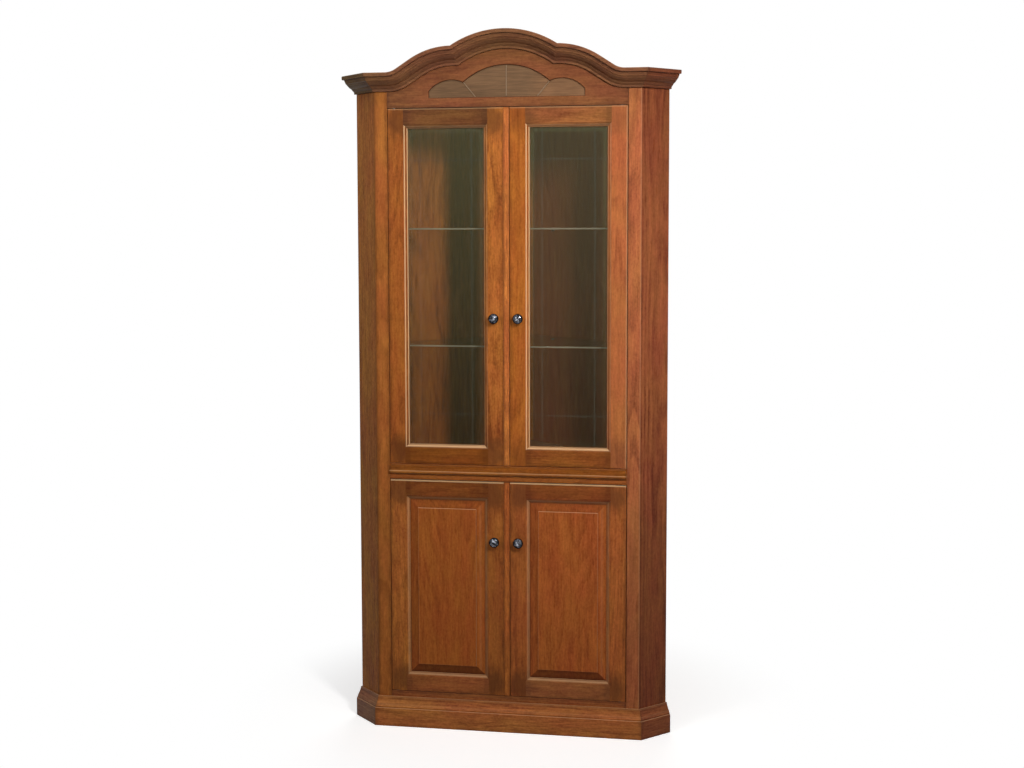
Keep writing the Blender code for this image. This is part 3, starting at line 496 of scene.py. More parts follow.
def frame_member(half_sight, half_full, width, glazes_and_light, highlight_share):
    """Door stile or rail drawn as (along, out from the sight edge, depth), its moulded edge mitred."""
    data = new_data()
    points = [((*point, 0)[:3], glaze_and_light) for point, glaze_and_light in zip(STICKING_PROFILE, glazes_and_light)]
    # Negative values are painted highlights, scaled by this member's share
    profile = trace([(*point, glaze_and_light * highlight_share if glaze_and_light < 0 else glaze_and_light) for point, glaze_and_light in points])
    reach = profile[0][0]
    shoulder = half_sight + reach
    ends = (-half_full, -shoulder, shoulder, half_full)
    if half_full < shoulder + GAP:
        ends = (-shoulder, shoulder)
    middle = len(ends) // 2

    def column(out, depth):
        return [add_point(data, (end, out, depth)) for end in ends]

    board = [column(reach, 0), column(width, 0), column(width, DOOR_THICKNESS), column(reach, DOOR_THICKNESS)]
    skin(data, board)
    front, back = board[0], board[-1]
    groove_back = GROOVE_FROM_FACE + GROOVE_WIDTH
    groove = ((GROOVE_DEPTH, GROOVE_FROM_FACE), (GROOVE_DEPTH, groove_back), (0, groove_back))
    section = profile[1:] + [(out, depth, 0) for out, depth in (*groove, (0, DOOR_THICKNESS))]
    edge = [front[middle - 1:middle + 1]]
    for out, depth, glaze_and_light in section:
        end = half_sight + out
        edge.append([add_point(data, (s * end, out, depth), glaze_and_light) for s in (-1, 1)])
    edge.append(back[middle - 1:middle + 1])
    skin(data, edge)
    for i in (0, -1):
        data.faces.new([column[i] for column in board])
        data.faces.new([pair[i] for pair in edge])
    if len(ends) > 2:
        for i in (0, 2):
            data.faces.new((front[i], front[i + 1], back[i + 1], back[i]))

    def outer(found):
        places = [vert.co for vert in found.verts]
        level = abs(places[0].z - places[1].z) < WELD
        at_side = all(abs(place.y - width) < WELD for place in places)
        at_end = len(ends) > 2 and all(abs(abs(place.x) - half_full) < WELD for place in places)
        return (at_side and level) or (at_end and level) or (at_side and at_end)

    return ease(data, DOOR_EASE, outer)


def placed(data, place):
    """Moves drawn points to their place in the model."""
    for vert in data.verts:
        vert.co = place(*vert.co)
    return data


def make_door(level, side):
    """Frame, pane or panel, knob and, on a left door, astragal of one door."""
    name = level + ("_left" if side < 0 else "_right")
    body = name + "_door"
    low, high = box(name + "_hinge_stile")
    centre_z, half_full = (low.z + high.z) / 2, (high.z - low.z) / 2
    half_height = half_full - DOOR_RAIL_WIDTH
    meeting = box(name + "_meeting_stile")
    outer_x = (low.x if side < 0 else high.x, meeting[1].x if side < 0 else meeting[0].x)
    centre_x = sum(outer_x) / 2
    half_width = abs(outer_x[0] - outer_x[1]) / 2 - DOOR_STILE_WIDTH
    for part, sign in (("hinge_stile", side), ("meeting_stile", -side), ("top_rail", 1), ("bottom_rail", -1)):
        node = f"{name}_{part}"
        # Painted highlight lines on the stickings: full on the left stiles and bottom rails, which face the
        # light, weaker on the shaded ones
        if part.endswith("stile"):
            glazes_and_light = TWO_LINES if level == "upper" else ONE_LINE
            highlight_share = STILE_HIGHLIGHT[level] if sign < 0 else SHADED_SIDE_HIGHLIGHT
            data = frame_member(half_height, half_full, DOOR_STILE_WIDTH, glazes_and_light, highlight_share)
            placed(data, lambda s, d, y: (centre_x + sign * (half_width + d), FACE_Y + y, centre_z + s))
        else:
            highlight_share = RAIL_HIGHLIGHT[level] if sign < 0 else SHADED_SIDE_HIGHLIGHT
            data = frame_member(half_width, 0, DOOR_RAIL_WIDTH, ONE_LINE, highlight_share)
            placed(data, lambda s, d, y: (centre_x + s, FACE_Y + y, centre_z + sign * (half_height + d)))
        # Painted highlight along the door's top edge, strong on the lower doors
        paint_edge_highlight(data, (0, 0, high.z), (0, 0, -1), TOP_EDGE_HIGHLIGHT[level])
        if node == "upper_right_hinge_stile":
            # Painted light over the gap's shade at this door's outer edge
            paint_edge_highlight(data, (high.x, 0, 0), (-1, 0, 0), SIDE_EDGE_LIGHT)
        add_wood(node, "_wood", data, body)
    if level == "upper":
        make_pane(name, body)
    else:
        make_panel(name, body, (centre_x, centre_z), half_width, half_height)
    make_knob(name, body)
    if side < 0:
        node = name + "_astragal"
        data = ease(copy_of(node), BOARD_EASE / 2, longer_than(STRIP_EDGE))
        add_wood(node, "_strip", data, body)


def paint_edge_highlight(data, corner, inward, lightness):
    """Paints a highlight in a strip along the front edge that lies farthest out."""
    corner, inward = Vector(corner), Vector(inward)
    for share in EDGE_HIGHLIGHT_CUTS:
        everything = [*data.verts, *data.edges, *data.faces]
        cut = corner + inward * EDGE_HIGHLIGHT_WIDTH * share
        bmesh.ops.bisect_plane(data, geom=everything, plane_co=cut, plane_no=inward)
    layer = data.verts.layers.float["glaze_and_light"]
    for vert in data.verts:
        in_strip = (vert.co - corner).dot(inward) < EDGE_HIGHLIGHT_WIDTH * EDGE_HIGHLIGHT_SHARE
        if in_strip and vert.co.y < FACE_Y + EDGE_HIGHLIGHT_WIDTH / 2:
            vert[layer] = -lightness


def make_pane(name, body):
    """Pane whose cut lines have a finish of their own."""
    data = copy_of(name + "_glass")
    bmesh.ops.recalc_face_normals(data, faces=data.faces)
    for face in data.faces:
        slanted = max(abs(part) for part in face.normal) < CUT_LINE_NORMAL
        face.material_index = 1 if slanted else 0
    add_piece(name + "_pane", data, body, [pane(name), FINISHES["cut_line"]], [name + "_glass"])


def make_panel(name, body, centre, half_width, half_height):
    """Raised panel: tongue, four mitred bevels, small step and flat field."""
    data = new_data()
    profile = trace(PANEL_PROFILE)
    corners = {}
    for side, ends in PANEL_SIDES.items():
        rows = []
        for grow, depth, glaze_and_light in profile:
            # Painted shade on the bevels and painted highlight on the field's edge, by side
            if PANEL_STEP < grow < 0:
                glaze_and_light += BEVEL_SHADE[side]
            elif glaze_and_light < 0:
                glaze_and_light *= FIELD_HIGHLIGHT[side]
            across, up = half_width + grow, half_height + grow
            places = [(centre[0] + x * across, FACE_Y + depth, centre[1] + z * up) for x, z in ends]
            rows.append([add_point(data, place, glaze_and_light) for place in places])
        skin(data, rows)
        corners[side] = (rows[0], rows[-1])
    for last in (0, 1):
        data.faces.new([corners[side][last][0] for side in PANEL_SIDES])
    add_wood(name + "_panel", "_wood", data, body)


def make_knob(name, body):
    """Turned knob with its screw."""
    low, high = box(name + "_knob")
    centre_x, centre_z = (low.x + high.x) / 2, (low.z + high.z) / 2
    data = new_data()
    rows = []
    angles = [2 * math.pi * i / KNOB_STEPS for i in range(KNOB_STEPS)]
    for out, reach, glaze_and_light in trace(KNOB_PROFILE):
        y = FACE_Y - GAP - reach
        if out < KNOB_TIP:
            rows.append([add_point(data, (centre_x, y, centre_z), glaze_and_light)])
        else:
            places = [(centre_x + out * math.cos(a), y, centre_z + out * math.sin(a)) for a in angles]
            rows.append([add_point(data, place, glaze_and_light) for place in places])
    skin(data, rows, closed=True)
    add_piece(name + "_knob_turned", data, body, [FINISHES["bronze"]], [name + "_knob"])


def make_glass_shelves():
    """Glass shelves with polished edges and a painted highlight on their front edges."""
    for name in ("glass_shelf_1", "glass_shelf_2"):
        data = copy_of(name)
        bmesh.ops.recalc_face_normals(data, faces=data.faces)
        for face in data.faces:
            # Painted highlight on the front edges only
            face.material_index = 1 if face.normal.y < FRONT_NORMAL else 0
        ease(data, GLASS_EASE, longer_than(SHORT_EDGE))
        finishes = [FINISHES["shelf"], FINISHES["shelf_edge_highlight"]]
        add_piece(name + "_plate", data, "cabinet", finishes, [name])


# Finishes


class Graph:
    """Small helper that adds and joins the nodes of one material or group."""

    def __init__(self, tree):
        self.tree = tree

    def add(self, kind, **values):
        """Shader node with plain settings."""
        node = self.tree.nodes.new("ShaderNode" + kind)
        for name, value in values.items():
            setattr(node, name, value)
        return node

    def feed(self, socket, value):
        """Joins a socket to a value or to another socket."""
        if isinstance(value, bpy.types.NodeSocket):
            self.tree.links.new(value, socket)
        else:
            socket.default_value = value

    def feed_all(self, node, values):
        """Joins a node's inputs, in their order, to values or other sockets."""
        for socket, value in zip(node.inputs, values):
            self.feed(socket, value)

    def feed_named(self, node, values):
        """Joins a node's inputs, by their names, to values or other sockets."""
        for name, value in values.items():
            self.feed(node.inputs[name], value)

    def distance(self, part, centre):
        """Distance of a coordinate from a centre."""
        return self.math("ABSOLUTE", self.minus(part, centre))

    def math(self, operation, *values, clamp=False):
        """Math node's result."""
        node = self.add("Math", operation=operation, use_clamp=clamp)
        self.feed_all(node, values)
        return node.outputs[0]

    def plus(self, first, second, clamp=False):
        """Sum of two values."""
        return self.math("ADD", first, second, clamp=clamp)

    def minus(self, first, second):
        """Difference of two values."""
        return self.math("SUBTRACT", first, second)

    def times(self, first, second, clamp=False):
        """Product of two values."""
        return self.math("MULTIPLY", first, second, clamp=clamp)

    def vector(self, operation, *values):
        """Vector math node's result."""
        node = self.add("VectorMath", operation=operation)
        self.feed_all(node, values)
        return node.outputs["Value"] if operation == "LENGTH" else node.outputs[0]

    def coordinates(self, place):
        """The three coordinates of a place."""
        node = self.add("SeparateXYZ")
        self.feed(node.inputs[0], place)
        return node.outputs

    def glaze_and_light(self):
        """Glaze and painted light and shade that the mesh carries."""
        return self.add("Attribute", attribute_name="glaze_and_light").outputs["Fac"]

    def noise(self, place, scale, detail=2.0, roughness=0.5):
        """Noise from 0 to 1 over a place."""
        node = self.add("TexNoise")
        values = {"Vector": place, "Scale": scale, "Detail": detail, "Roughness": roughness}
        self.feed_named(node, values)
        return node.outputs[0]

    def remap(self, value, low, high, new_low=0.0, new_high=1.0, smooth=False):
        """Value taken from one range to another, clamped."""
        node = self.add("MapRange", interpolation_type="SMOOTHSTEP" if smooth else "LINEAR")
        self.feed_all(node, (value, low, high, new_low, new_high))
        return node.outputs[0]

    def mix(self, share, first, second, blend="MIX"):
        """Mix of two colours."""
        node = self.add("Mix", data_type="RGBA", blend_type=blend)
        self.feed(node.inputs[0], share)
        self.feed(node.inputs[6], first)
        self.feed(node.inputs[7], second)
        return node.outputs[2]


# Noise behind the wood's figure: scale along and across the grain, detail and roughness
SWAY_NOISE = (1.3, 7.0, 2.0)
WOBBLE_NOISE = (9.0, 34.0, 2.0)
SHOWN_NOISE = (3.0, 16.0, 2.0)
PORE_NOISE = (60.0, 900.0, 1.0)
FIGURE_NOISE = {
    "Fibre": (19.0, 200.0, 3.0, 0.7),
    "Streak": (6.0, 76.0, 3.0, 0.65),
    "Cloud": (5.0, 14.0, 3.0, 0.55),
    "Blotch": (26.0, 34.0, 3.0, 0.6),
    "Fleck": (120.0, 170.0, 3.0, 0.65),
}
SWAY = 0.080
DEEP_SWAY_SHARE = 0.6
WOBBLE = 0.008


def wood_figure():
    """Node group: growth rings, fibres, streaks, pores and clouds of a plain-sawn board."""
    group = bpy.data.node_groups.new("wood_figure", "ShaderNodeTree")
    face = group.interface
    face.new_socket(name="Board place", in_out="INPUT", socket_type="NodeSocketVector")
    for name in ("Ring spacing", "Heart depth", "Heart slope"):
        face.new_socket(name=name, in_out="INPUT", socket_type="NodeSocketFloat")
    for name in ("Rings", "Fibre", "Streak", "Pores", "Cloud", "Blotch", "Fleck"):
        face.new_socket(name=name, in_out="OUTPUT", socket_type="NodeSocketFloat")
    graph = Graph(group)
    source = group.nodes.new("NodeGroupInput")
    result = group.nodes.new("NodeGroupOutput")
    place = source.outputs["Board place"]

    def stretched(lengthwise, crosswise, detail, roughness=0.5):
        drawn_out = graph.vector("MULTIPLY", place, (lengthwise, crosswise, crosswise))
        return graph.noise(drawn_out, 1.0, detail, roughness)

    x, y, z = graph.coordinates(place)
    sway = graph.times(graph.minus(stretched(*SWAY_NOISE), 0.5), SWAY)
    wobble = graph.times(graph.minus(stretched(*WOBBLE_NOISE), 0.5), WOBBLE)
    across = graph.plus(graph.plus(y, sway), wobble)
    slope = graph.times(x, source.outputs["Heart slope"])
    deep = graph.plus(graph.plus(z, source.outputs["Heart depth"]), slope)
    deep = graph.plus(deep, graph.times(sway, DEEP_SWAY_SHARE))
    reach = graph.math("SQRT", graph.plus(graph.times(across, across), graph.times(deep, deep)))
    turn = graph.math("FRACT", graph.math("DIVIDE", reach, source.outputs["Ring spacing"]))
    rise = graph.remap(turn, 0.25, 0.84, smooth=True)
    fall = graph.remap(turn, 0.88, 1.0, 1.0, 0.0, smooth=True)
    shown = graph.remap(stretched(*SHOWN_NOISE), 0.38, 0.62, 0.25, 1.0)
    graph.feed(result.inputs["Rings"], graph.times(graph.times(rise, fall), shown))
    graph.feed(result.inputs["Pores"], graph.remap(stretched(*PORE_NOISE), 0.58, 0.70))
    for name, values in FIGURE_NOISE.items():
        graph.feed(result.inputs[name], stretched(*values))
    return group


# Tone of each board as a linear colour, set board by board; some tones also carry painted light and shade,
# such as the waist rail's, made paler against the shadow under its moulding
TONES_AND_LIGHT = {
    "front_crown": (0.206, 0.087, 0.038),
    "left_crown_return": (0.186, 0.092, 0.030),
    "right_crown_return": (0.196, 0.062, 0.027),
    "header_rail": (0.203, 0.072, 0.028),
    "left_face_stile": (0.367, 0.119, 0.027),
    "right_face_stile": (0.379, 0.119, 0.043),
    "left_side_panel": (0.437, 0.160, 0.039),
    "right_side_panel": (0.226, 0.065, 0.024),
    "left_back_panel": (0.272, 0.079, 0.020),
    "right_back_panel": (0.232, 0.072, 0.028),
    "waist_rail": (0.362, 0.110, 0.024),
    "bottom_rail": (0.30, 0.095, 0.030),
    "waist_moulding": (0.281, 0.081, 0.012),
    "front_plinth": (0.448, 0.151, 0.042),
    "left_plinth_return": (0.301, 0.124, 0.058),
    "right_plinth_return": (0.281, 0.087, 0.033),
    "upper_left_top_rail": (0.150, 0.057, 0.019),
    "upper_left_hinge_stile": (0.321, 0.093, 0.019),
    "upper_left_meeting_stile": (0.382, 0.121, 0.025),
    "upper_left_bottom_rail": (0.227, 0.066, 0.011),
    "upper_left_astragal": (0.524, 0.158, 0.038),
    "upper_right_top_rail": (0.255, 0.091, 0.029),
    "upper_right_hinge_stile": (0.390, 0.120, 0.039),
    "upper_right_meeting_stile": (0.371, 0.109, 0.019),
    "upper_right_bottom_rail": (0.262, 0.081, 0.017),
    "lower_left_top_rail": (0.208, 0.063, 0.014),
    "lower_left_hinge_stile": (0.385, 0.122, 0.027),
    "lower_left_meeting_stile": (0.337, 0.104, 0.023),
    "lower_left_bottom_rail": (0.339, 0.109, 0.032),
    "lower_left_panel": (0.346, 0.094, 0.019),
    "lower_left_astragal": (0.429, 0.125, 0.028),
    "lower_right_top_rail": (0.229, 0.062, 0.016),
    "lower_right_hinge_stile": (0.410, 0.125, 0.030),
    "lower_right_meeting_stile": (0.354, 0.102, 0.025),
    "lower_right_bottom_rail": (0.329, 0.118, 0.038),
    "lower_right_panel": (0.383, 0.100, 0.023),
}
PLAIN_TONE = (0.20, 0.070, 0.028)
# Weight of the growth rings, gloss, stain and painted shade at the outline and contrast, where they differ
# from plain
RING_WEIGHT = {
    "right_side_panel": 0.50,
    "right_face_stile": 0.40,
    "left_face_stile": 0.35,
    "upper_left_meeting_stile": 0.35,
    "upper_right_hinge_stile": 0.30,
}
PLAIN_RING_WEIGHT = 0.22
GLOSS = {
    "left_back_panel": 0.02,
    "right_back_panel": 0.02,
    "left_side_panel": 0.02,
    "left_face_stile": 0.03,
    "front_crown": 0.08,
    "left_crown_return": 0.04,
}
PLAIN_GLOSS = 0.05
EDGE_STAIN_AND_SHADE = {
    "right_side_panel": (0.012, 0.15),
    "right_face_stile": (0.008, 0.15),
    "upper_right_hinge_stile": (0.008, 0.20),
}
PLAIN_EDGE_STAIN_AND_SHADE = (0.011, 0.42)
EDGE_STAIN_AND_SHADE_BLOTCH = 0.02
CONTRAST = {
    "right_side_panel": 0.85,
    "lower_left_panel": 0.80,
    "lower_right_panel": 0.88,
    "upper_right_hinge_stile": 0.75,
    "upper_left_meeting_stile": 1.25,
    "left_back_panel": 1.3,
    "header_rail": 0.9,
    "left_face_stile": 0.75,
    "right_face_stile": 0.9,
    "right_back_panel": 0.7,
    "upper_left_bottom_rail": 0.8,
    "lower_left_hinge_stile": 1.3,
    "upper_right_meeting_stile": 0.85,
    "front_plinth": 1.05,
}
# Factors that tell one board's figure from the next board's
BOARD_SPREAD = 12.9898
BOARD_STEP = 3.17
BOARD_LIFT = 0.05
RING_SPACING = 0.0052
RING_SPACING_SPREAD = 0.0014
RING_SPACING_TURN = 2.4
HEART_DEPTH = 0.045
HEART_DEPTH_SPREAD = 0.02
UPRIGHT_HEART_SLOPE = 0.03
LEVEL_HEART_SLOPE = 0.015
HEART_SLOPE_TURN = 1.7
# Weights of fibre, streak, cloud, blotch and fleck in a board's light and dark
FIGURE_WEIGHTS = (1.05, 0.60, 0.36, 0.26, 0.75)
MIDDLE_LEVEL = 0.55
DARK_SHARES = (0.46, 0.40, 0.46)
LIGHT_SHARES = (1.50, 1.60, 1.52)
RED_SHARES = (1.03, 0.90, 1.0)
GOLD_SHARES = (1.00, 1.04, 0.97)
PORE_SHARES = (0.35, 0.30, 0.30)
PORE_STRENGTH = 0.35
# Colour shares of the dark stain and painted shade at board outlines and door joints
STAIN_AND_SHADE_SHARES = (0.34, 0.37, 0.52)
# Dark glaze and painted shade in recesses, then the colour and strength of rubbed edges and painted
# highlights
RECESS_GLAZE_AND_SHADE_SHARES = (0.22, 0.20, 0.25)
RECESS_GLAZE_AND_SHADE_STRENGTH = 0.75
RUB_AND_HIGHLIGHT = (0.68, 0.42, 0.22, 1)
RUB_AND_HIGHLIGHT_STRENGTH = 0.85
# Painted shade on the left back panel: darker towards its bottom, between these heights
BACK_SHADE_SHARES = (0.66, 0.64, 0.50, 1)
BACK_SHADE_Z = 0.90
BACK_LIT_Z = 1.75
JOINT_STAIN_OUT = 0.024
JOINT_STAIN_NEAR = 0.046
JOINT_STAIN_FAR = 0.105
JOINT_STAIN_BLOTCH = 0.06
JOINT_STAIN_RAIL = 0.25
JOINT_STAIN_STILE = {"upper_right": 0.42}
PLAIN_JOINT_STAIN = 0.74
BUMP_DISTANCE = 0.0006


def scaled(colour, shares):
    """Colour times shares, with alpha."""
    return (*(c * s for c, s in zip(colour, shares)), 1)


def grain_turn(node):
    """Turn of a board's grain: upright in stiles, panels and astragals, level in all others."""
    upright = math.radians(90) if node.endswith(("_stile", "_panel", "_astragal")) else 0
    aside = 0
    if node.endswith(("_return", "_side_panel", "_back_panel")):
        aside = RETURN_ANGLE if node.startswith("right") else -RETURN_ANGLE
    return 0, upright, -aside if node.endswith("_back_panel") else aside


def board_halves(node, turn):
    """Half length and half width of a board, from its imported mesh."""
    low, high = box(node)
    back = Euler(turn).to_matrix().inverted()
    points = [back @ (vert.co - (low + high) / 2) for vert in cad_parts[node].data.vertices]
    return max(abs(point.x) for point in points), max(abs(point.z) for point in points)


def start_material(name):
    """New material with its graph, its shader and the place on the model."""
    material = bpy.data.materials.new(name)
    material.use_nodes = True
    graph = Graph(material.node_tree)
    place = graph.add("TexCoord").outputs["Object"]
    return material, graph, material.node_tree.nodes["Principled BSDF"], place


def set_roughness(graph, shader, mottle, low, high):
    """Roughness that follows a noise."""
    graph.feed(shader.inputs["Roughness"], graph.remap(mottle, 0.2, 0.8, low, high))


def add_bump(graph, shader, height, strength):
    """Fine relief."""
    bump = graph.add("Bump")
    graph.feed_named(bump, {"Strength": strength, "Distance": BUMP_DISTANCE, "Height": height})
    graph.feed(shader.inputs["Normal"], bump.outputs[0])


def board_figure(graph, board_place, number, turn):
    """Parts of the wood's figure, cut from another part of the log on each board."""
    spread = math.sin(number * BOARD_SPREAD)
    flat = graph.add("Mapping")
    location = (number * BOARD_STEP, BOARD_LIFT * spread, 0)
    rotation = (math.radians(90), 0, 0)
    graph.feed_named(flat, {"Vector": board_place, "Location": location, "Rotation": rotation})
    figure = graph.add("Group", node_tree=FIGURE)
    spacing = RING_SPACING + RING_SPACING_SPREAD * math.cos(number * RING_SPACING_TURN)
    slope = UPRIGHT_HEART_SLOPE if turn[1] else LEVEL_HEART_SLOPE
    heart = HEART_DEPTH + HEART_DEPTH_SPREAD * spread
    graph.feed_all(figure, (flat.outputs[0], spacing, heart, slope * math.cos(number * HEART_SLOPE_TURN)))
    return figure.outputs


def edge_stain_and_shade(graph, node, board_place, turn, blotch):
    """Dark stain and painted shade along the outline of a board."""
    half_long, half_wide = board_halves(node, turn)
    along_board, _depth, across_board = graph.coordinates(board_place)
    edge = graph.math(
        "MINIMUM",
        graph.minus(half_long, graph.math("ABSOLUTE", along_board)),
        graph.minus(half_wide, graph.math("ABSOLUTE", across_board)))
    edge = graph.plus(edge, graph.times(graph.minus(blotch, 0.5), EDGE_STAIN_AND_SHADE_BLOTCH))
    reach, strength = EDGE_STAIN_AND_SHADE.get(node, PLAIN_EDGE_STAIN_AND_SHADE)
    return graph.times(graph.remap(edge, 0.0, reach, 1.0, 0.0, smooth=True), strength)


def joint_stain(graph, node, place, blotch):
    """Dark stain that the end grain soaked up at the corners of a door frame."""
    door = node.rsplit("_", 2)[0]
    low, high = box(door + "_hinge_stile")
    meeting_low, meeting_high = box(door + "_meeting_stile")
    left, right = min(low.x, meeting_low.x), max(high.x, meeting_high.x)
    half_width = (right - left) / 2 - DOOR_STILE_WIDTH + JOINT_STAIN_OUT
    half_height = (high.z - low.z) / 2 - DOOR_RAIL_WIDTH + JOINT_STAIN_OUT
    x, _y, z = graph.coordinates(place)
    total = 0.0
    for part, centre, half in ((x, (left + right) / 2, half_width), (z, (low.z + high.z) / 2, half_height)):
        away = graph.minus(graph.distance(part, centre), half)
        total = graph.plus(graph.times(away, away), total)
    distance = graph.plus(graph.math("SQRT", total), graph.times(blotch, JOINT_STAIN_BLOTCH))
    near = graph.remap(distance, JOINT_STAIN_NEAR, JOINT_STAIN_FAR, 1.0, 0.0, smooth=True)
    if node.endswith("rail"):
        return graph.times(near, JOINT_STAIN_RAIL)
    return graph.times(near, JOINT_STAIN_STILE.get(door, PLAIN_JOINT_STAIN))


def in_door_frame(node):
    """True for the stiles and rails of the doors."""
    return node.endswith(("_stile", "_top_rail", "_bottom_rail")) and node.startswith(("upper", "lower"))


def wood(node):
    """Cherry finish of one board, with its own tone, grain direction and figure, and with painted light and
    shade.
    """
    tone_and_light = TONES_AND_LIGHT.get(node, PLAIN_TONE)
    turn = grain_turn(node)
    number = sorted(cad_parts).index(node)
    material, graph, shader, place = start_material(node + "_cherry")
    low, high = box(node)
    turned = graph.add("Mapping", vector_type="TEXTURE")
    graph.feed_named(turned, {"Vector": place, "Location": (low + high) / 2, "Rotation": turn})
    board_place = turned.outputs[0]
    rings, fibre, streak, pores, cloud, blotch, fleck = board_figure(graph, board_place, number, turn)
    level = graph.times(rings, -RING_WEIGHT.get(node, PLAIN_RING_WEIGHT))
    for part, weight in zip((fibre, streak, cloud, blotch, fleck), FIGURE_WEIGHTS):
        level = graph.plus(level, graph.times(graph.minus(part, 0.5), weight))
    level = graph.times(level, CONTRAST.get(node, 1.0))
    level = graph.plus(level, MIDDLE_LEVEL, clamp=True)
    hue = graph.remap(cloud, 0.36, 0.64)
    body = graph.mix(hue, scaled(tone_and_light, RED_SHARES), scaled(tone_and_light, GOLD_SHARES))
    shade = graph.mix(level, (*DARK_SHARES, 1), (*LIGHT_SHARES, 1))
    colour = graph.mix(1.0, body, shade, "MULTIPLY")
    colour = graph.mix(graph.times(pores, PORE_STRENGTH), colour, scaled(tone_and_light, PORE_SHARES))
    # Painted shade: the left back panel grows darker towards its bottom
    if node == "left_back_panel":
        lit_share = graph.remap(graph.coordinates(place)[2], BACK_SHADE_Z, BACK_LIT_Z, smooth=True)
        colour = graph.mix(lit_share, graph.mix(1.0, colour, BACK_SHADE_SHARES, "MULTIPLY"), colour)
    # Dark stain and painted shade along the board's outline; on door frames, also the dark stain of the
    # joints
    stain_and_shade = edge_stain_and_shade(graph, node, board_place, turn, blotch)
    if in_door_frame(node):
        stain_and_shade = graph.math("MAXIMUM", stain_and_shade, joint_stain(graph, node, place, blotch))
    colour = graph.mix(stain_and_shade, colour, scaled(tone_and_light, STAIN_AND_SHADE_SHARES))
    # Positive values: dark glaze and painted shade in recesses; negative values: rubbed edges and painted
    # highlights
    glaze_and_light = graph.glaze_and_light()
    recess_glaze_and_shade = graph.times(graph.math("MAXIMUM", glaze_and_light, 0.0), RECESS_GLAZE_AND_SHADE_STRENGTH)
    colour = graph.mix(recess_glaze_and_shade, colour, scaled(tone_and_light, RECESS_GLAZE_AND_SHADE_SHARES))
    rubbed_and_lit = graph.times(graph.math("MAXIMUM", graph.times(glaze_and_light, -1.0), 0.0), RUB_AND_HIGHLIGHT_STRENGTH)
    graph.feed(shader.inputs["Base Color"], graph.mix(rubbed_and_lit, colour, RUB_AND_HIGHLIGHT))
    set_roughness(graph, shader, fibre, 0.24, 0.36)
    shader.inputs["Specular IOR Level"].default_value = GLOSS.get(node, PLAIN_GLOSS)
    add_bump(graph, shader, graph.minus(graph.times(fibre, 0.7), graph.times(pores, 0.6)), 0.25)
    return material


def plain_finish(name, colour, roughness, spread, scale, metallic=0.0, specular=0.5, alpha=1.0):
    """Finish whose colour and roughness vary a little over the surface."""
    material, graph, shader, place = start_material(name)
    mottle = graph.noise(place, scale, 4.0, 0.6)
    colour = graph.mix(mottle, scaled(colour, (1 - spread,) * 3), scaled(colour, (1 + spread,) * 3))
    graph.feed(shader.inputs["Base Color"], colour)
    set_roughness(graph, shader, mottle, roughness * 0.8, roughness * 1.2)
    graph.feed_named(shader, {"Metallic": metallic, "Specular IOR Level": specular, "Alpha": alpha})
    return material


PANE_TINT = {"upper_left": (0.280, 0.258, 0.120), "upper_right": (0.270, 0.222, 0.118)}
# Painted light along the pane's border and painted shade towards its bottom
PANE_BORDER_LIGHT = (0.37, 0.35, 0.18, 1)
PANE_LOW_SHADE_SHARES = (0.40, 0.38, 0.34, 1)
PANE_SPREAD = 0.08
PANE_GLOSS = 0.25
PANE_ALPHA = 0.10


def pane(name):
    """Clear greenish glass, with painted light along its border and painted shade towards its bottom."""
    material, graph, shader, place = start_material(name + "_clear_pane")
    mottle = graph.noise(place, 4.0, 3.0)
    x, _y, z = graph.coordinates(place)
    low, high = box(name + "_glass")
    edge = 1.0
    for part, start, end in ((x, low.x, high.x), (z, low.z, high.z)):
        off = graph.distance(part, (start + end) / 2)
        edge = graph.math("MINIMUM", edge, graph.minus((end - start) / 2, off))
    border_light = graph.remap(edge, PANE_BORDER * 0.8, PANE_BORDER * 1.2, 1.0, 0.0, smooth=True)
    tint = PANE_TINT[name]
    colour = graph.mix(mottle, scaled(tint, (1 - PANE_SPREAD,) * 3), scaled(tint, (1 + PANE_SPREAD,) * 3))
    # Painted light along the border, painted shade towards the bottom
    colour = graph.mix(border_light, colour, PANE_BORDER_LIGHT)
    height = graph.remap(z, low.z, high.z)
    colour = graph.mix(height, graph.mix(1.0, colour, PANE_LOW_SHADE_SHARES, "MULTIPLY"), colour)
    graph.feed(shader.inputs["Base Color"], colour)
    set_roughness(graph, shader, mottle, 0.03, 0.05)
    graph.feed_named(shader, {"Specular IOR Level": PANE_GLOSS, "Alpha": PANE_ALPHA})
    return material


BRONZE_DARK = (0.004, 0.004, 0.005, 1)
BRONZE_PALE = (0.010, 0.010, 0.012, 1)
BRONZE_WORN_HIGHLIGHT = (0.48, 0.50, 0.57, 1)
BRONZE_EDGE_TINT = (0.12, 0.12, 0.14, 1)


def bronze():
    """Polished near-black bronze, worn bright on its crown, which also paints its highlights."""
    material, graph, shader, place = start_material("dark_bronze")
    mottle = graph.noise(place, 190.0, 2.0, 0.5)
    colour = graph.mix(mottle, BRONZE_DARK, BRONZE_PALE)
    # Worn bright crown, which also paints the knob's highlights
    worn_highlight = graph.times(graph.times(graph.glaze_and_light(), -1.0), graph.remap(mottle, 0.44, 0.64), clamp=True)
    graph.feed(shader.inputs["Base Color"], graph.mix(worn_highlight, colour, BRONZE_WORN_HIGHLIGHT))
    set_roughness(graph, shader, mottle, 0.10, 0.18)
    graph.feed_named(shader, {"Metallic": 1.0, "Specular Tint": BRONZE_EDGE_TINT})
    return material


WALNUT_DARK = (0.070, 0.039, 0.020, 1)
WALNUT_PALE = (0.215, 0.118, 0.058, 1)
WALNUT_RIGHT_SHARES = (1.35, 1.22, 1.15, 1)
WALNUT_GLOSS = 0.1


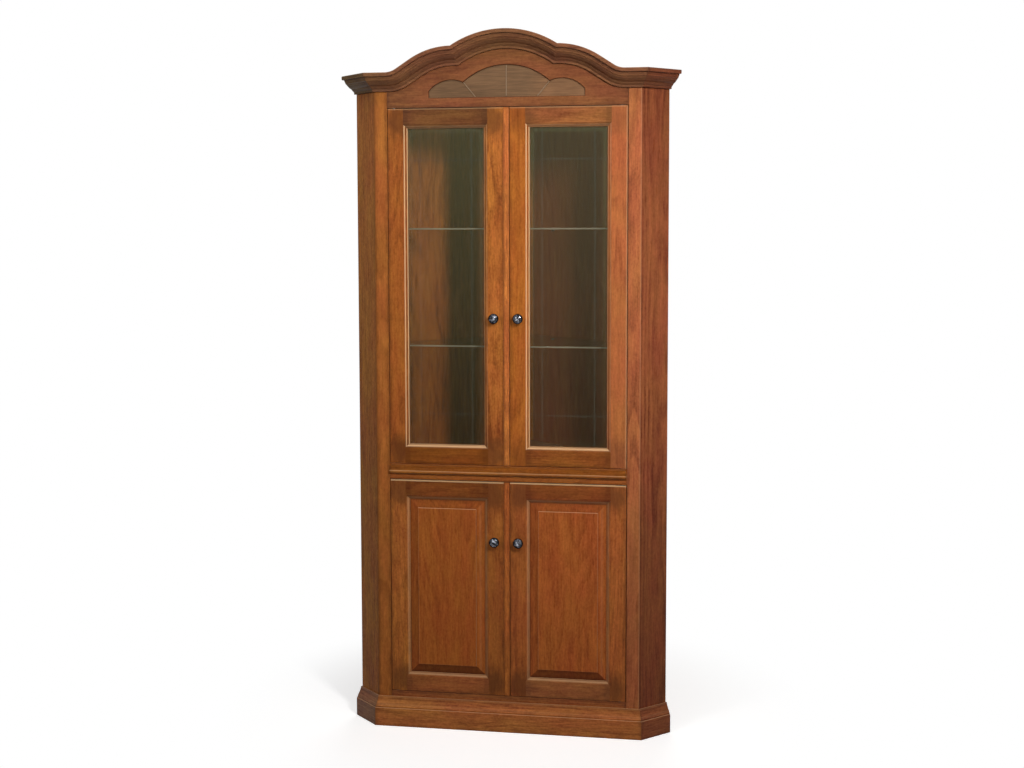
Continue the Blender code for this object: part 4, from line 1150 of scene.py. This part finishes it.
def walnut():
    """Walnut of the fan: grey-brown with fine level grain, and paler in its right leaf."""
    material, graph, shader, place = start_material("walnut_fan")
    streak = graph.noise(graph.vector("MULTIPLY", place, (14.0, 260.0, 260.0)), 1.0, 4.0, 0.65)
    cloud = graph.noise(graph.vector("MULTIPLY", place, (9.0, 30.0, 30.0)), 1.0, 2.0)
    level = graph.plus(graph.times(streak, 0.9), graph.times(cloud, 0.5))
    colour = graph.mix(graph.remap(level, 0.35, 1.05), WALNUT_DARK, WALNUT_PALE)
    paler = graph.mix(1.0, colour, WALNUT_RIGHT_SHARES, "MULTIPLY")
    colour = graph.mix(graph.remap(graph.coordinates(place)[0], 0.06, 0.12, 0.0, 0.8), colour, paler)
    graph.feed(shader.inputs["Base Color"], colour)
    set_roughness(graph, shader, streak, 0.45, 0.6)
    shader.inputs["Specular IOR Level"].default_value = WALNUT_GLOSS
    add_bump(graph, shader, streak, 0.3)
    return material


def make_light(name, place, target, size, watts, colour=(1, 1, 1), spread=math.pi):
    """Soft rectangular lamp aimed at a point."""
    lamp = bpy.data.lights.new(name, "AREA")
    lamp.spread = spread
    lamp.shape = "RECTANGLE"
    lamp.size, lamp.size_y = size
    lamp.energy = watts
    lamp.color = colour
    obj = add_object(name, lamp)
    obj.location = place
    obj.rotation_euler = (Vector(target) - Vector(place)).to_track_quat("-Z", "Y").to_euler()
    return obj


AMBIENT = 0.10
FLOOR_SIZE = 60.0
FLOOR_CLEAR_START = 0.50
FLOOR_CLEAR_END = 1.00
FLOOR_PALE = (0.85, 0.85, 0.85, 1)
FLOOR_AS_LIGHT = (0.30, 0.30, 0.30, 1)
FLOOR_LIFT = 0.52


def seen_directly(graph):
    """1 for rays that show the background, 0 for rays that light the object."""
    path = graph.add("LightPath")
    seen = graph.math("MAXIMUM", path.outputs["Is Camera Ray"], path.outputs["Is Transmission Ray"])
    return graph.math("MAXIMUM", seen, path.outputs["Is Glossy Ray"])


def make_world():
    """White surroundings to the eye, a plain soft level as light."""
    world = bpy.data.worlds.new("studio")
    bpy.context.scene.world = world
    world.use_nodes = True
    graph = Graph(world.node_tree)
    background = world.node_tree.nodes["Background"]
    shown = seen_directly(graph)
    graph.feed(background.inputs["Color"], (1, 1, 1, 1))
    graph.feed(background.inputs["Strength"], graph.remap(shown, 0.0, 1.0, AMBIENT, 1.0))


def make_floor():
    """Pale floor that keeps the shadow near the object and clears to white further out."""
    data = bmesh.new()
    bmesh.ops.create_grid(data, x_segments=1, y_segments=1, size=FLOOR_SIZE)
    mesh = bpy.data.meshes.new("floor")
    data.to_mesh(mesh)
    data.free()
    floor = add_object("floor", mesh)
    material, graph, shader, place = start_material("pale_floor")
    mesh.materials.append(material)
    shown = seen_directly(graph)
    graph.feed(shader.inputs["Base Color"], graph.mix(shown, FLOOR_AS_LIGHT, FLOOR_PALE))
    graph.feed_named(shader, {"Roughness": 0.9, "Specular IOR Level": 0.0})
    lift = graph.add("Emission")
    graph.feed(lift.inputs["Strength"], graph.times(shown, FLOOR_LIFT))
    near = graph.add("AddShader")
    graph.feed_all(near, (shader.outputs[0], lift.outputs[0]))
    glow = graph.add("Emission")
    clear = graph.remap(graph.vector("LENGTH", place), FLOOR_CLEAR_START, FLOOR_CLEAR_END, smooth=True)
    mix = graph.add("MixShader")
    graph.feed_all(mix, (graph.times(clear, shown), near.outputs[0], glow.outputs[0]))
    output = material.node_tree.nodes["Material Output"]
    graph.feed(output.inputs["Surface"], mix.outputs[0])


# Camera: standing place before the cabinet's face, turn, tilt and lens
EYE_FROM_FACE = (0.7045, -4.1623, 1.5502)
EYE_YAW = 0.16376
EYE_PITCH = 0.07547
EYE_ROLL = -0.00187
FOCAL_PIXELS = 1399.996
PICTURE_WIDTH = 1024
SHIFT_PIXELS = -50.953
SENSOR = 36.0


def make_camera():
    """Camera at the photograph's viewing angle."""
    data = bpy.data.cameras.new("camera")
    data.sensor_width = SENSOR
    data.lens = FOCAL_PIXELS / PICTURE_WIDTH * SENSOR
    data.shift_y = SHIFT_PIXELS / PICTURE_WIDTH
    camera = add_object("camera", data)
    level_reach = math.cos(EYE_PITCH)
    ahead = Vector((-math.sin(EYE_YAW) * level_reach, math.cos(EYE_YAW) * level_reach, -math.sin(EYE_PITCH)))
    right = Vector((math.cos(EYE_YAW), math.sin(EYE_YAW), 0))
    up = right.cross(ahead)
    c, s = math.cos(EYE_ROLL), math.sin(EYE_ROLL)
    right, up = right * c + up * s, up * c - right * s
    turn = Matrix((right, up, -ahead)).transposed().to_4x4()
    place = Vector(EYE_FROM_FACE) + Vector((0, FACE_Y, 0))
    camera.matrix_world = Matrix.Translation(place) @ turn
    bpy.context.scene.camera = camera


def make_lamps():
    """Key from the front right, fill from the left and from behind, strips above and at the right."""
    upper = (0, FACE_Y, 1.75)
    beam = math.radians(110)
    make_light("key", (1.50, FACE_Y - 2.5, 2.60), upper, (0.4, 0.9), 27, (1.0, 0.98, 0.95), beam)
    make_light("fill", (-1.6, FACE_Y - 2.4, 2.4), upper, (0.6, 0.6), 6, (0.97, 0.98, 1.0), beam)
    make_light("top_strip", (0.1, FACE_Y - 1.0, 3.5), (0, FACE_Y, 1.0), (2.4, 0.3), 20)
    back = make_light("back_fill", (0, 3.0, 2.3), (0, 0.1, 1.1), (1.8, 1.2), 34, (1.0, 0.99, 0.97))
    back.visible_camera = False
    strip_beam = math.radians(34)
    strip_place = (2.9, FACE_Y - 1.3, 1.35)
    strip = make_light("right_strip", strip_place, (0.4, FACE_Y, 1.2), (0.25, 0.6), 1.4, spread=strip_beam)
    for lamp in (back, strip):
        lamp.visible_glossy = False


FIGURE = wood_figure()
FINISHES = {
    "walnut": walnut(),
    "string": plain_finish("light_string", (0.25, 0.165, 0.10), 0.5, 0.15, 200.0, specular=0.1),
    "bronze": bronze(),
    "steel": plain_finish("burnished_steel", (0.13, 0.12, 0.11), 0.45, 0.15, 250.0, metallic=1.0),
    "plastic": plain_finish("brown_plastic", (0.07, 0.04, 0.028), 0.5, 0.15, 400.0),
    "cut_line": plain_finish("cut_line", (0.20, 0.24, 0.18), 0.35, 0.2, 40.0, alpha=0.14),
    "shelf": plain_finish("shelf_glass", (0.05, 0.08, 0.05), 0.04, 0.1, 4.0, alpha=0.12),
    # Front edges of the glass shelves: a pale painted highlight
    "shelf_edge_highlight": plain_finish("shelf_edge_highlight", (0.27, 0.23, 0.16), 0.3, 0.3, 12.0, specular=0.2, alpha=0.75),
}
KEPT_FINISHES = {"pivot": "steel", "catch": "plastic"}


def dress_kept_nodes():
    """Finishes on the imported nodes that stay: pivots and catches."""
    for name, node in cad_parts.items():
        finish = KEPT_FINISHES.get(name.rsplit("_", 1)[-1])
        if finish:
            for material_slot in node.material_slots:
                material_slot.material = FINISHES[finish]


def main():
    make_camera()
    make_world()
    make_floor()
    make_lamps()
    make_boards()
    make_crown()
    make_plinth()
    make_waist_moulding()
    make_fan()
    make_glass_shelves()
    for level in ("upper", "lower"):
        for side in (-1, 1):
            make_door(level, side)
    dress_kept_nodes()
    bpy.context.scene.view_settings.view_transform = "Standard"


main()
